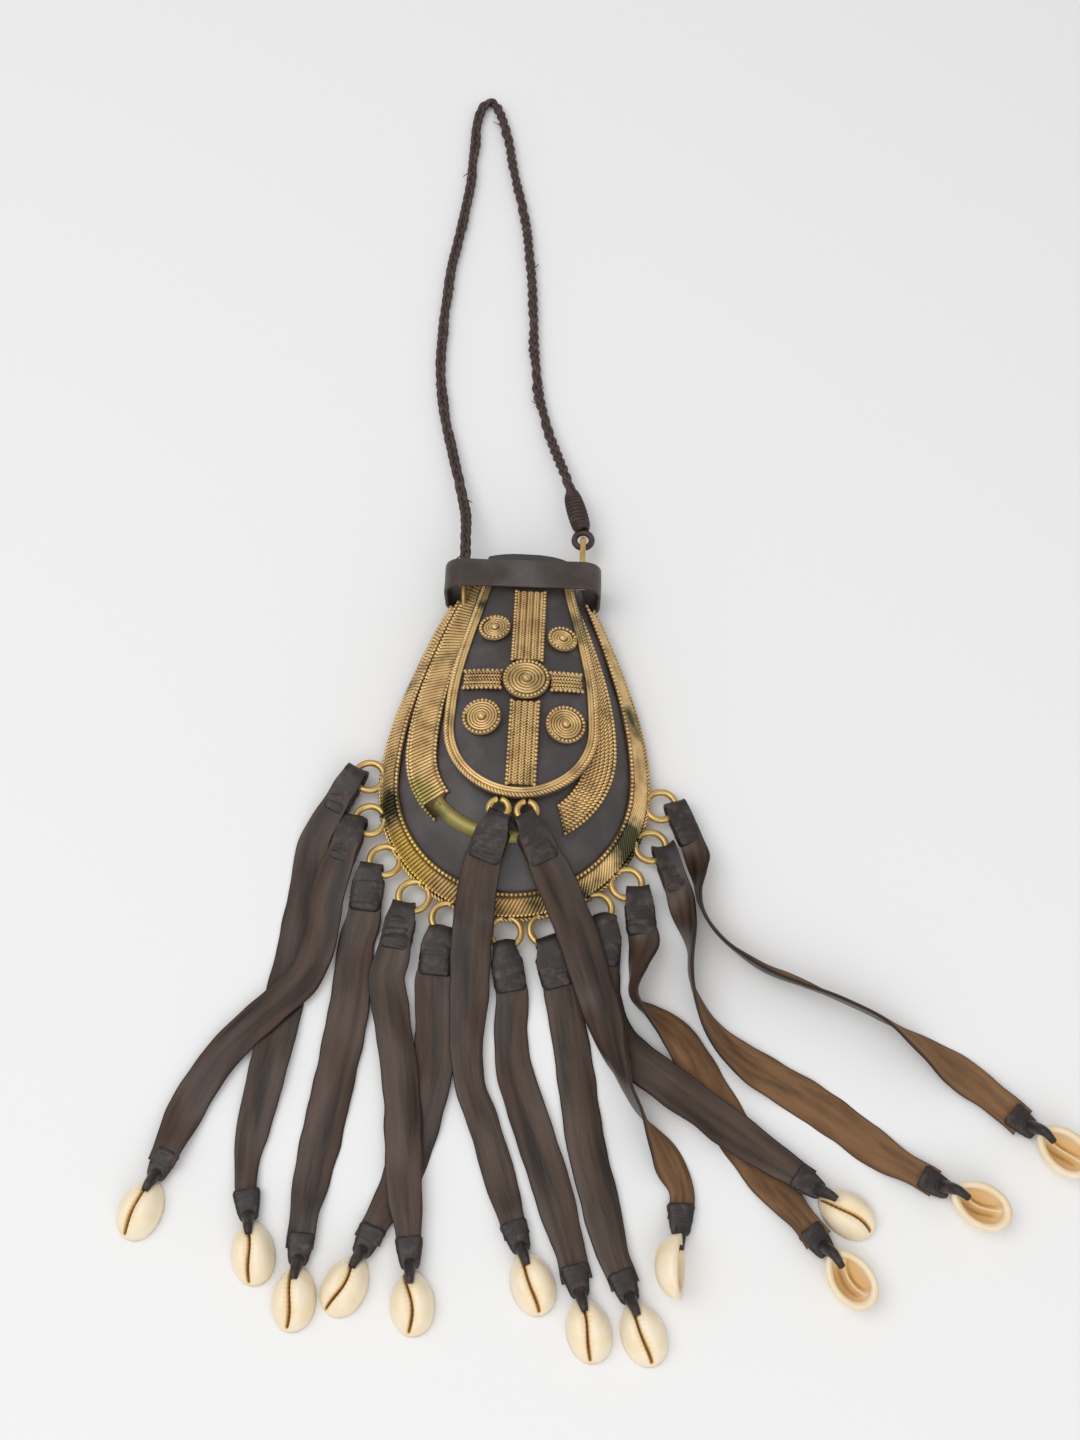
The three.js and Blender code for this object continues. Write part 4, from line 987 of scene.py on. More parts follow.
def brass(name, bright, dark, patina=None, roughness=0.36, spots=()):
    """Brass with painted shade in its recesses, tarnish and stained spots."""
    material, nodes, links, shader = tree_of(name)
    place = nodes.new("ShaderNodeTexCoord").outputs["Object"]
    edge = nodes.new("ShaderNodeNewGeometry").outputs["Pointiness"]
    # Pointiness darkens the recesses towards the dark colour: painted shade.
    raised = ramp_node(nodes, links, edge, *RECESS_SHADE_RANGE)
    tone = mix_node(nodes, links, raised, dark, bright)
    tarnish = ramp_node(nodes, links, noise_node(nodes, links, place, TARNISH_SCALE, 6.0), *TARNISH_RANGE)
    dull = [between(b, a, TARNISH_SHARE) for a, b in zip(dark, bright)]
    tone = mix_node(nodes, links, tarnish, tone, dull)
    red = ramp_node(nodes, links, noise_node(nodes, links, place, RED_SCALE, 3.0), *RED_RANGE)
    tone = mix_node(nodes, links, red, tone, [a * b for a, b in zip(RED_TINT, bright)])
    if patina is not None:
        green = ramp_node(nodes, links, noise_node(nodes, links, place, PATINA_SCALE, 5.0), *PATINA_RANGE)
        tone = mix_node(nodes, links, green, tone, patina)
    for spot, reach, stain in spots:
        near = nodes.new("ShaderNodeVectorMath")
        near.operation = "DISTANCE"
        near.inputs[1].default_value = spot
        links.new(place, near.inputs[0])
        ragged = nodes.new("ShaderNodeMath")
        ragged.operation = "MULTIPLY_ADD"
        ragged.inputs[1].default_value = -reach
        links.new(noise_node(nodes, links, place, SPOT_SCALE, 4.0), ragged.inputs[0])
        links.new(near.outputs["Value"], ragged.inputs[2])
        inside = ramp_node(nodes, links, ragged.outputs["Value"], reach * SPOT_EDGE, reach * SPOT_CORE)
        tone = mix_node(nodes, links, inside, tone, stain)
    links.new(tone, shader.inputs["Base Color"])
    shader.inputs["Metallic"].default_value = BRASS_METALLIC
    shader.inputs["Roughness"].default_value = roughness
    return material


def shell_finish(name):
    """Shell that goes from cream over amber to dark brown as lay's first value rises; the dark brown is
    painted shade in the slit and also marks lines in the hollow.
    """
    material, nodes, links, shader = tree_of(name)
    place = nodes.new("ShaderNodeTexCoord").outputs["Object"]
    tone_at = lay_node(nodes, links)[1]["X"]
    tint = ramp_node(nodes, links, noise_node(nodes, links, place, SHELL_SCALE, 3.0), *SHELL_RANGE)
    c = colours()
    face = mix_node(nodes, links, tint, c.shell, [a * b for a, b in zip(SHELL_TINT, c.shell)])
    tone = mix_node(nodes, links, ramp_node(nodes, links, tone_at, 0.0, 0.5), face, c.amber)
    tone = mix_node(nodes, links, ramp_node(nodes, links, tone_at, 0.5, 1.0), tone, c.shell_dark)
    links.new(tone, shader.inputs["Base Color"])
    shader.inputs["Roughness"].default_value = SHELL_ROUGHNESS
    shader.inputs["Subsurface Weight"].default_value = SHELL_GLOW
    shader.inputs["Subsurface Scale"].default_value = SHELL_GLOW_DEPTH
    return material


# Loops and strips
def rim_loop(angle):
    turn = math.radians(angle)
    out = np.array((math.cos(turn), math.sin(turn), 0.0))
    return np.array((0.0, POUCH_CENTRE_Y, LOOP_HEIGHT)) + out * LOOP_ROOT, out, LOOP_HALF, LOOP_REACH


def flap_loop(x):
    y = FLAP_CENTRE_Y - math.sqrt((FLAP_RADIUS + FLAP_LOOP_OUT) ** 2 - (x - FLAP_X) ** 2)
    root = np.array((x, y, float(front_z(x, y)) + FLAP_LIFT + FLAP_LOOP_LIFT))
    out = unit(((x - FLAP_X) * FLAP_LOOP_FAN, -1.0, -FLAP_LOOP_DIP))
    return root, out, FLAP_LOOP_HALF, FLAP_LOOP_REACH


def loops():
    return [rim_loop(a) for a in RIM_LOOP_ANGLES] + [flap_loop(x) for x in FLAP_LOOP_X]


def loop_line(root, out, half, reach):
    """The round of a loop, from where it leaves the rim to where it comes back."""
    side = unit((-out[1], out[0], 0.0))
    angle = np.linspace(LOOP_GAP - math.pi, math.pi - LOOP_GAP, LOOP_POINTS)
    ahead, across = reach - half + half * np.cos(angle), half * np.sin(angle)
    return root + ahead[:, None] * out + across[:, None] * side


def rolled(along, roll):
    along = unit(along)
    level = unit(np.cross(UP, along))
    turn = math.radians(roll)
    return level * math.cos(turn) + np.cross(along, level) * math.sin(turn)


def fold_stations(bound):
    """Run, lift and width along a strip's tail, its fold round the loop and the start of its upper side."""
    stations = [(*TAIL_END, bound - TAIL_END_SHY), TAIL_START]
    for angle in np.linspace(0, math.pi, FOLD_POINTS):
        stations.append((-FOLD_RUN * math.sin(angle), -FOLD_LIFT * math.cos(angle), FOLD_WIDTH))
    return stations + [(run, lift, bound - shy) for run, lift, shy in OVER_STATIONS]


def strip_stations(loop, strand):
    """Centre, width and side direction from the tail under the loop to the shell."""
    root, out, reach = loop[0], loop[1], loop[3]
    tip = root + out * reach
    route = [np.array(s[:3]) for s in strand["route"]]
    width = [s[3] for s in strand["route"]]
    roll = [s[4] for s in strand["route"]]
    shell = np.array((*strand["shell"][:2], 0.0))
    end_along = unit(shell - route[-1] * (1, 1, 0))
    end = shell - end_along * (COWRIE_LENGTH / 2 + SHELL_GAP) + UP * route[-1][2]
    route.append(end)
    width.append(width[-1])
    roll.append(roll[-1])
    along = unit(route[0] - tip)
    side = unit(np.cross(UP, along))
    up = np.cross(along, side)
    rows = []
    for run, lift, wide in fold_stations(strand["bound"]):
        rows.append((*(tip + along * run + up * lift), wide, *side))
    before = np.array(rows[-1][:3])
    for k, place in enumerate(route):
        after = route[min(k + 1, len(route) - 1)]
        rows.append((*place, width[k], *rolled(after - before, roll[k])))
        before = place
    return tip, along, up, np.array(rows), end, end_along


def ribbon(shape, line, thickness, seed):
    """A leather ribbon with soft edges; slot 0 is its grain side, 1 its flesh side and 2 its bound end."""
    points, width, side = line[:, :3], line[:, 3], unit(line[:, 4:7])
    along = unit(np.gradient(points, axis=0))
    side = unit(side - along * (side * along).sum(axis=1, keepdims=True))
    up = np.cross(along, side)
    count, rows = len(RIBBON_ACROSS), len(points)
    run = np.arange(rows) * RIBBON_STEP
    camber = flutter(run, CAMBER_SCALE, 7.0, seed) * CAMBER_REACH + CAMBER
    order = [(j, 1) for j in range(count)] + [(j, -1) for j in reversed(range(count))]
    grid, lays = [], []
    for j, face in order:
        share = RIBBON_ACROSS[j]
        curl = CURL_REACH * abs(share * 2) ** 2 * math.sin(seed * 2.3)
        wave = flutter(run, WAVE_SCALE, share * 1.6, seed) * WAVE_REACH
        wave = wave + curl * np.sin(run * CURL_TURNS + seed)
        wave = np.clip(wave + camber * (1 - 4 * share**2), *WAVE_LIMITS)
        wander = flutter(run, EDGE_WANDER_SCALE, np.sign(share) * 3, seed + 9) * EDGE_WANDER
        reach = width * share + wander * abs(share * 2) ** 4 * np.sign(share)
        lift = wave + face * RIBBON_EDGE[j] * thickness
        grid.append(points + side * reach[:, None] + up * lift[:, None])
        lays.append(np.stack([run, np.full(rows, share), np.full(rows, seed + face)], axis=1))
    grid, lays = np.stack(grid, axis=1), np.stack(lays, axis=1)
    grid[:, :, 2] = np.maximum(grid[:, :, 2], FLOOR)
    columns = 2 * count
    faces = [tuple(reversed(f)) for f in grid_faces(rows, columns, closed=True)]
    bound = int(BOUND_RUN / RIBBON_STEP)
    slots = [2 if k // columns < bound else int(k % columns >= count) for k in range(len(faces))]
    faces.append(tuple(range(columns)))
    faces.append(tuple((rows - 1) * columns + j for j in reversed(range(columns))))
    shape.add(grid.reshape(-1, 3), faces, slots + [2, 1], lays.reshape(-1, 3))


def sleeve(shape, centre, along, side, length, width, thickness, seed, taper=1.0):
    """A bound end: leather wound tightly round, with creases; it narrows to taper at its far end."""
    rows, columns = SLEEVE_ROWS, SLEEVE_COLUMNS
    up = np.cross(along, side)
    verts = []
    for t in np.linspace(-0.5, 0.5, rows):
        swell = (1 - (2 * abs(t)) ** 8 * SLEEVE_ROUNDING) * (1 + (taper - 1) * (t + 0.5))
        for j in range(columns):
            a = 2 * math.pi * j / columns
            c, s = math.cos(a), math.sin(a)
            x = math.copysign(abs(c) ** SLEEVE_SQUARE_X, c) * width / 2 * swell
            z = math.copysign(abs(s) ** SLEEVE_SQUARE_Z, s) * thickness / 2 * swell
            wind = noise.noise(Vector((t * 7 + c * 0.5, s * 0.6, seed * 3)))
            crease = noise.noise(Vector((t * 16 + c * 0.8, c * 2.2, s * 2.2 + seed * 5)))
            relief = WIND_DEPTH * wind - CREASE_DEPTH * abs(crease)
            across = side * x * (1 + SIDE_CREASE * relief) + up * z * (1 + relief)
            verts.append(centre + along * t * length + across)
    verts = np.array(verts)
    verts[:, 2] = np.maximum(verts[:, 2], FLOOR)
    faces = grid_faces(rows, columns, closed=True)
    faces.append(tuple(reversed(range(columns))))
    faces.append(tuple((rows - 1) * columns + j for j in range(columns)))
    shape.add(verts, faces, 2)


# Cowries
def bell(off, width):
    return np.exp(-((off / width) ** 2))


def cowrie_mesh(shape, seed):
    """A shell with the toothed slit up (+Z) and the back cut open."""
    n, m = COWRIE_COLUMNS, COWRIE_ROWS
    s, t = np.meshgrid(np.linspace(-1, 1, n), np.linspace(-1, 1, m))
    u = s * np.sqrt(1 - t**2 / 2)
    v = t * np.sqrt(1 - s**2 / 2)
    r = np.clip(np.hypot(u, v), 0, 1)
    taper = 1 + 0.07 * v - 0.1 * np.maximum(0, -v - 0.3)
    x, y = u * COWRIE_WIDTH / 2 * taper, v * COWRIE_LENGTH / 2
    off = x - 0.0004 - 0.0012 * v**2 - 0.0007 * np.sin(v * 2.8 + seed)
    inside = smooth((0.96 - np.abs(v)) / 0.12)
    dip = bell(off, DIP_WIDTH) * inside
    groove = bell(off, SLIT_WIDTH + SLIT_FLARE * (v > 0) * v) * inside
    lip = bell(np.abs(off) - LIP_OFFSET, LIP_WIDTH) * smooth((0.75 - np.abs(v)) / 0.2)
    teeth = 0.5 + 0.5 * np.cos(v * TOOTH_TURNS + seed)
    dome = np.maximum(0, 1 - r**2.5) ** 0.5
    z = (COWRIE_HEIGHT - DIP_DEPTH * dip - SLIT_DEPTH * groove) * dome + TOOTH_HEIGHT * lip * teeth
    outer = np.stack([x, y, z], axis=-1).reshape(-1, 3)
    # The slit takes the dark brown as painted shade; the dip and the gaps between the teeth lean a little to
    # amber
    tone_out = np.clip(groove * 1.15 + dip * 0.05 + lip * (1 - teeth) * 0.14, 0, 1)
    ridge = bell(off - RIDGE_OFFSET, RIDGE_WIDTH) * inside
    hollow = HOLLOW_HIGH * COWRIE_HEIGHT * np.maximum(0, 1 - r**2.6) ** 0.5
    inner_z = np.maximum(hollow - ridge * RIDGE_HEIGHT * (1 - r**4), 0)
    inner = np.stack([x * HOLLOW_WIDE, y * HOLLOW_LONG, inner_z], axis=-1).reshape(-1, 3)
    lines = bell(np.abs(off - RIDGE_OFFSET) - LINE_OFFSET, LINE_WIDTH) * smooth((0.9 - np.abs(v)) / 0.3)
    tone_in = np.clip(0.5 - 0.3 * ridge - 0.35 * r**3 + 0.32 * lines, 0.08, 0.9)
    rim = list(range(n)) + [i * n + n - 1 for i in range(1, m)]
    rim += [(m - 1) * n + j for j in reversed(range(n - 1))] + [i * n for i in reversed(range(1, m - 1))]
    faces = grid_faces(m, n)
    total = n * m
    every = list(faces) + [tuple(reversed([i + total for i in f])) for f in faces]
    for a, b in zip(rim, rim[1:] + rim[:1]):
        every.append((b, a, a + total, b + total))
    lays = np.zeros((2 * total, 3))
    lays[:, 0] = np.concatenate([tone_out.reshape(-1), tone_in.reshape(-1)])
    shape.add(np.concatenate([outer, inner]), every, 0, lays)


def turned(a, b, angle):
    """Two coordinates turned by an angle, from the first towards the second."""
    return a * math.cos(angle) - b * math.sin(angle), a * math.sin(angle) + b * math.cos(angle)


# Seats of the discs
class Seat:
    """The flat place on the flap that a disc sits on."""

    def __init__(self, x, y):
        reach = DISC_SLOPE
        lean_x = self.height(x - reach, y) - self.height(x + reach, y)
        lean_y = self.height(x, y - reach) - self.height(x, y + reach)
        self.normal = unit((lean_x, lean_y, 2 * reach))
        self.centre = np.array((x, y, self.height(x, y) + DISC_LIFT))
        self.side = unit(np.cross((0.0, 1.0, 0.0), self.normal))
        self.along = np.cross(self.normal, self.side)

    def height(self, x, y):
        return float(front_z(x, y)) + FLAP_TOP

    def ring(self, radius, angle, lift):
        flat = np.outer(radius * np.cos(angle), self.side) + np.outer(radius * np.sin(angle), self.along)
        return self.centre + flat + self.normal * lift


# Steps
class PouchStep:
    """What every step of the build shares."""

    bl_options = {"REGISTER", "UNDO"}


class POUCH_OT_stage(PouchStep, bpy.types.Operator):
    """Lay the white table, set the light and place the camera."""

    bl_idname = "pouch.stage"
    bl_label = "Stage and Camera"

    def execute(self, context):
        scene = context.scene
        self.camera(scene)
        self.table()
        world = bpy.data.worlds.new("room")
        world.use_nodes = True
        room = world.node_tree.nodes["Background"]
        room.inputs["Color"].default_value = (1.0, 1.0, 1.0, 1.0)
        room.inputs["Strength"].default_value = ROOM_LIGHT
        scene.world = world
        for name, place, size, power in LAMPS:
            self.lamp(scene, name, place, size, power)
        scene.view_settings.view_transform = "Standard"
        return {"FINISHED"}

    def camera(self, scene):
        data = bpy.data.cameras.new("camera")
        data.lens = CAMERA_LENS
        data.sensor_width = SENSOR_WIDTH
        data.sensor_fit = "AUTO"
        data.clip_start = CLIP_START
        data.clip_end = CLIP_END
        camera = bpy.data.objects.new("camera", data)
        camera.location = CAMERA_PLACE
        aim = Vector(CAMERA_AIM) - Vector(CAMERA_PLACE)
        camera.rotation_euler = aim.to_track_quat("-Z", "Y").to_euler()
        scene.collection.objects.link(camera)
        scene.camera = camera

    def table(self):
        made = tree_of("table")
        white, shader = made[0], made[-1]
        shader.inputs["Base Color"].default_value = (*colours().table, 1.0)
        shader.inputs["Roughness"].default_value = TABLE_ROUGHNESS
        shader.inputs["Specular IOR Level"].default_value = TABLE_GLOSS
        corners = [(x * TABLE_REACH, y * TABLE_REACH, 0) for x, y in ((-1, -1), (1, -1), (1, 1), (-1, 1))]
        top = Shape()
        top.add(corners, [(0, 1, 2, 3)])
        top.build("table", [white])

    def lamp(self, scene, name, place, size, power):
        light = bpy.data.lights.new(name, "AREA")
        light.energy = power
        light.size = size
        lamp = bpy.data.objects.new(name, light)
        lamp.location = place
        lamp.rotation_euler = (-Vector(place)).to_track_quat("-Z", "Y").to_euler()
        scene.collection.objects.link(lamp)


class POUCH_OT_strap(PouchStep, bpy.types.Operator):
    """Plait the carrying strap, with its whipped end and brass eyes."""

    bl_idname = "pouch.strap"
    bl_label = "Carrying Strap"

    def execute(self, context):
        c = colours()
        hide = leather("strap_leather", c.strap, c.strap_light, roughness=0.5, scale=300.0, low=0.5, high=0.8)
        line = resample(catmull(STRAP_ROUTE[::-1]), STRAP_STEP)
        braid = Shape()
        self.plait(braid, line)
        braid.verts = [np.maximum(v, (-TABLE_REACH, -TABLE_REACH, FLOOR)) for v in braid.verts]
        cord = settle(braid.build("carrying_strap", [hide]), ["strap_cord"])
        whip = settle(self.whipping(hide), ["strap_whipping"])
        metal = brass("eye_brass", c.loop, c.brass_tarnish_and_shade)
        for node, x, z, low, high, foot in STRAP_EYES:
            self.eye(node, x, z, low, high, foot, metal)
        return {"FINISHED"}

    def plait(self, braid, line):
        """Strands that swing from side to side and over each other, with broken ends that stand out."""
        along = unit(np.gradient(line, axis=0))
        side = unit(np.cross(UP, along))
        up = np.cross(along, side)
        run = np.arange(len(line)) * STRAP_STEP
        wander = flutter(run, STRAP_WANDER_SCALE, 1.0, 2.0)
        phase = run / PLAIT_PITCH + PLAIT_DRIFT * flutter(run, PLAIT_DRIFT_SCALE, 5.0, 8.0)
        for k in range(PLAIT_STRANDS):
            turn = 2 * math.pi * (phase + k / PLAIT_STRANDS)
            uneven = 1 + STRAND_UNEVEN * flutter(run, STRAND_SCALE, k * 4.0, 3.0)
            swing = np.sin(turn) * PLAIT_SWING * (1 + SWING_UNEVEN * wander) + wander * STRAP_WANDER
            lift = np.sin(2 * turn) * PLAIT_LIFT
            centre = line + side * swing[:, None] + up * lift[:, None]
            sweep(braid, centre, up, sizes().strand_radius * uneven, STRAND_SIDES)
        for k, place in enumerate(HAIR_PLACES):
            i = min(int(place / STRAP_STEP), len(line) - HAIR_AHEAD - 1)
            self.hair(braid, line[i], side[i] * (-1) ** k, unit(line[i + HAIR_AHEAD] - line[i]), k)

    def hair(self, braid, place, out, along, k):
        """A broken end of leather."""
        reach = HAIR_REACH + HAIR_SPREAD * math.sin(k * 5.1)
        points = []
        for t in np.linspace(0, 1, HAIR_POINTS):
            points.append(place + out * HAIR_ROOT + (out * t + along * t * t * HAIR_BEND) * reach)
        sweep(braid, points, np.tile(UP, (HAIR_POINTS, 1)), np.linspace(*HAIR_RADII, HAIR_POINTS), HAIR_SIDES)

    def whipping(self, hide):
        """Twine wound round the strap's end, with its leather eyelet."""
        shape = Shape()
        line = catmull(WHIPPING, per=12)
        points, radius = line[:, :3], line[:, 3:]
        sweep(shape, points, np.tile(UP, (len(line), 1)), radius[:, 0], sides=16)
        along = unit(np.gradient(points, axis=0))
        side = unit(np.cross(UP, along))
        up = np.cross(along, side)
        count = WHIPPING_TURNS * WHIPPING_POINTS
        centre, side, up, radius = (spread(values, count) for values in (points, side, up, radius))
        turn = np.linspace(0, WHIPPING_TURNS * 2 * math.pi, count)
        out = np.cos(turn)[:, None] * up + np.sin(turn)[:, None] * side
        sweep(shape, centre + out * radius, out, WHIPPING_TWINE)
        angle = np.linspace(0, 2 * math.pi, 41)
        ring = EYELET_CENTRE + EYELET_RADIUS * np.stack([np.cos(angle), np.sin(angle), 0 * angle], axis=1)
        sweep(shape, ring, np.tile(UP, (len(ring), 1)), EYELET_CORD, WIRE_SIDES)
        return shape.build("strap_whipped_end", [hide])

    def eye(self, node, x, z, low, high, foot, metal):
        """A long eye of wire that stands on edge; both legs run down to its foot on the pouch."""
        angle = np.linspace(-math.pi / 2, math.pi / 2, 15)
        top = high - EYE_HALF * (1 - np.cos(angle))
        arc = np.stack([0 * angle + x, top, z + EYE_HALF * np.sin(angle)], axis=1)
        lower = [np.add(foot, UP * EYE_FEET[0]), (x, low, z - EYE_HALF)]
        upper = [(x, low, z + EYE_HALF), np.add(foot, UP * EYE_FEET[1])]
        line = np.concatenate([lower, arc, upper])
        shape = Shape()
        sweep(shape, line, np.tile((1.0, 0.0, 0.0), (len(line), 1)), EYE_WIRE, WIRE_SIDES)
        settle(shape.build(node + "_wire", [metal]), [node])


class POUCH_OT_fringe(PouchStep, bpy.types.Operator):
    """Hang the leather strips in their loops, each with its cowrie."""

    bl_idname = "pouch.fringe"
    bl_label = "Strips and Cowries"

    def execute(self, context):
        c = colours()
        grain = strip_leather("strip_grain", c.grain, c.grain_wear_and_sheen, roughness=0.38)
        flesh = strip_leather("strip_flesh", shade(c.flesh, FLESH_SHADE), c.flesh, 0.85, FLESH_STREAKS)
        # The binding's lighter noise patches are painted highlights
        wrap = leather(
            "strip_binding", c.binding, c.grain_wear_and_sheen,
            roughness=0.42, scale=320.0, low=0.52, high=0.8, grain=0.6,
        )
        shell = shell_finish("cowrie_shell")
        for k, (loop, strand) in enumerate(zip(loops(), STRIPS)):
            number = f"{k + 1:02d}"
            cowrie = self.cowrie(number, k, strand, shell)
            self.strip(number, k, loop, strand, [grain, flesh, wrap], cowrie)
        return {"FINISHED"}

    def strip(self, number, k, loop, strand, skins, cowrie):
        tip, along, up, rows, end, end_along = strip_stations(loop, strand)
        line = resample(catmull(rows, per=10), RIBBON_STEP)
        shape = Shape()
        ribbon(shape, line, sizes().strip_thickness, k * 1.7 + 0.5)
        side = unit(np.cross(UP, along))
        centre = tip + along * LOOP_BINDING_RUN - up * LOOP_BINDING_DROP
        sleeve(shape, centre, along, side, LOOP_BINDING_LENGTH, strand["bound"], LOOP_BINDING_THICKNESS, k)
        level = unit(np.cross(UP, end_along))
        sleeve(
            shape, end, end_along, level, SHELL_BINDING_LENGTH, SHELL_BINDING_WIDTH, SHELL_BINDING_THICKNESS,
            k + 0.5, SHELL_BINDING_TAPER,
        )
        tongue = self.tongue(end, end_along, strand)
        count = len(tongue)
        sweep(shape, tongue, np.tile(UP, (count, 1)), np.linspace(*TONGUE_RADII, count), WIRE_SIDES, 2)
        piece = settle(shape.build("leather_strip_" + number, skins), ["strip_" + number])
        path = np.concatenate([[tip + up * FOLD_RADIUS], rows[FOLD_STATIONS:, :3], tongue[-1:]])
        path = catmull(path, per=6)

    def tongue(self, end, end_along, strand):
        """The tip of the leather, drawn over the end of the shell into its opening."""
        places = {0: TONGUE_FACE_UP, 180: TONGUE_FACE_DOWN}.get(strand["shell"][2], TONGUE_ON_EDGE)
        return catmull([end + end_along * ahead + UP * lift for ahead, lift in places], per=5)

    def cowrie(self, number, k, strand, shell):
        shape = Shape()
        cowrie_mesh(shape, k * 1.3)
        x, y, turn = strand["shell"]
        across, run, high = shape.verts[0].T
        high, across = turned(high, across, math.radians(turn))
        last = strand["route"][-1]
        heading = math.atan2(y - last[1], x - last[0]) - math.pi / 2
        across, run = turned(across, run, heading)
        shape.verts = [np.stack([across + x, run + y, high + FLOOR - high.min()], axis=1)]
        return settle(shape.build("cowrie_shell_" + number, [shell]), ["cowrie_" + number])


class POUCH_OT_loops(PouchStep, bpy.types.Operator):
    """Bend the brass loops on the rim and on the flap."""

    bl_idname = "pouch.loops"
    bl_label = "Brass Loops"

    def execute(self, context):
        c = colours()
        # The loop brass darkens to half its tone in its recesses as painted shade, and in tarnish
        metal = brass("loop_brass", c.loop, shade(c.loop, LOOP_TONE), roughness=0.3)
        for k, (root, out, half, reach) in enumerate(loops()):
            shape = Shape()
            line = loop_line(root, out, half, reach)
            sweep(shape, line, np.tile(UP, (len(line), 1)), sizes().loop_wire, WIRE_SIDES)
            settle(shape.build(f"brass_loop_{k + 1:02d}", [metal]), [f"loop_{k + 1:02d}"])
        return {"FINISHED"}


class POUCH_OT_body(PouchStep, bpy.types.Operator):
    """Sew the pear-shaped pouch."""

    bl_idname = "pouch.body"
    bl_label = "Pouch Body"

    def execute(self, context):
        c = colours()
        hide = leather(
            "pouch_leather", c.leather, c.leather_wear_and_sheen, roughness=0.42, scale=80.0, low=0.45, high=0.8
        )
        lines = [RIM, EDGE_INNER, BAND_OUTER, BAND_INNER, SPINE]
        plans = []
        for a, b in zip(lines, lines[1:]):
            plans += [between(a, b, k / POUCH_ROWS) for k in range(POUCH_ROWS)]
        rows = [np.column_stack([plan, front_z(plan[:, 0], plan[:, 1])]) for plan in plans + [SPINE]]
        for row in rows[1:]:
            row[:, 2] += rough(row, HIDE_SCALE, HIDE_RELIEF)
        back = pear(radius=POUCH_RADIUS - BACK_INSET, neck=NECK_HALF - BACK_NECK_INSET)
        shape = Shape()
        pear_solid(shape, [np.column_stack([back, back_z(back[:, 1])]), *rows])
        settle(shape.build("pouch_hide", [hide]), ["pouch_body"])
        return {"FINISHED"}


class POUCH_OT_flap(PouchStep, bpy.types.Operator):
    """Cut the flap that comes over the mouth and lies on the front."""

    bl_idname = "pouch.flap"
    bl_label = "Flap"

    def execute(self, context):
        c = colours()
        hide = leather(
            "flap_leather", c.leather, c.leather_wear_and_sheen, roughness=0.5, scale=100.0, low=0.5, high=0.8
        )
        rows = []
        for inset, lift in (*FLAP_UNDER, *FLAP_EDGE, *((inset, FLAP_TOP) for inset in FLAP_TOP_INSETS)):
            line = flap_line(inset, FLAP_END_Y)
            row = np.column_stack([line, front_z(line[:, 0], line[:, 1]) + lift])
            if lift == FLAP_TOP:
                row[:, 2] += rough(row, FLAP_SCALE, FLAP_RELIEF)
            rows.append(row)
        shape = Shape()
        pear_solid(shape, rows)
        self.turn_down(shape)
        settle(shape.build("flap_hide", [hide]), ["flap"])
        return {"FINISHED"}

    def turn_down(self, shape):
        """The leather that goes down from the flap over the mouth."""
        count = TURN_DOWN_POINTS
        x = np.linspace(-TURN_DOWN_HALF, TURN_DOWN_HALF, count) + FLAP_X
        high = front_z(x, np.full(count, MOUTH_Y)) + FLAP_LIFT + TURN_DOWN_OVER
        low = np.full(count, NECK_LIFT + GAP)
        outer, inner = FLAP_END_Y, FLAP_END_Y - TURN_DOWN_THICKNESS
        section = ((outer, low), (outer, high), (inner, high), (inner, low))
        rows = [np.column_stack([x, np.full(count, y), z]) for y, z in section]
        faces = []
        for k in range(4):
            a, b = k * count, (k + 1) % 4 * count
            faces += [(a + j, a + j + 1, b + j + 1, b + j) for j in range(count - 1)]
        faces.append(tuple(k * count for k in range(4)))
        faces.append(tuple(k * count + count - 1 for k in reversed(range(4))))
        shape.add(np.concatenate(rows), faces)


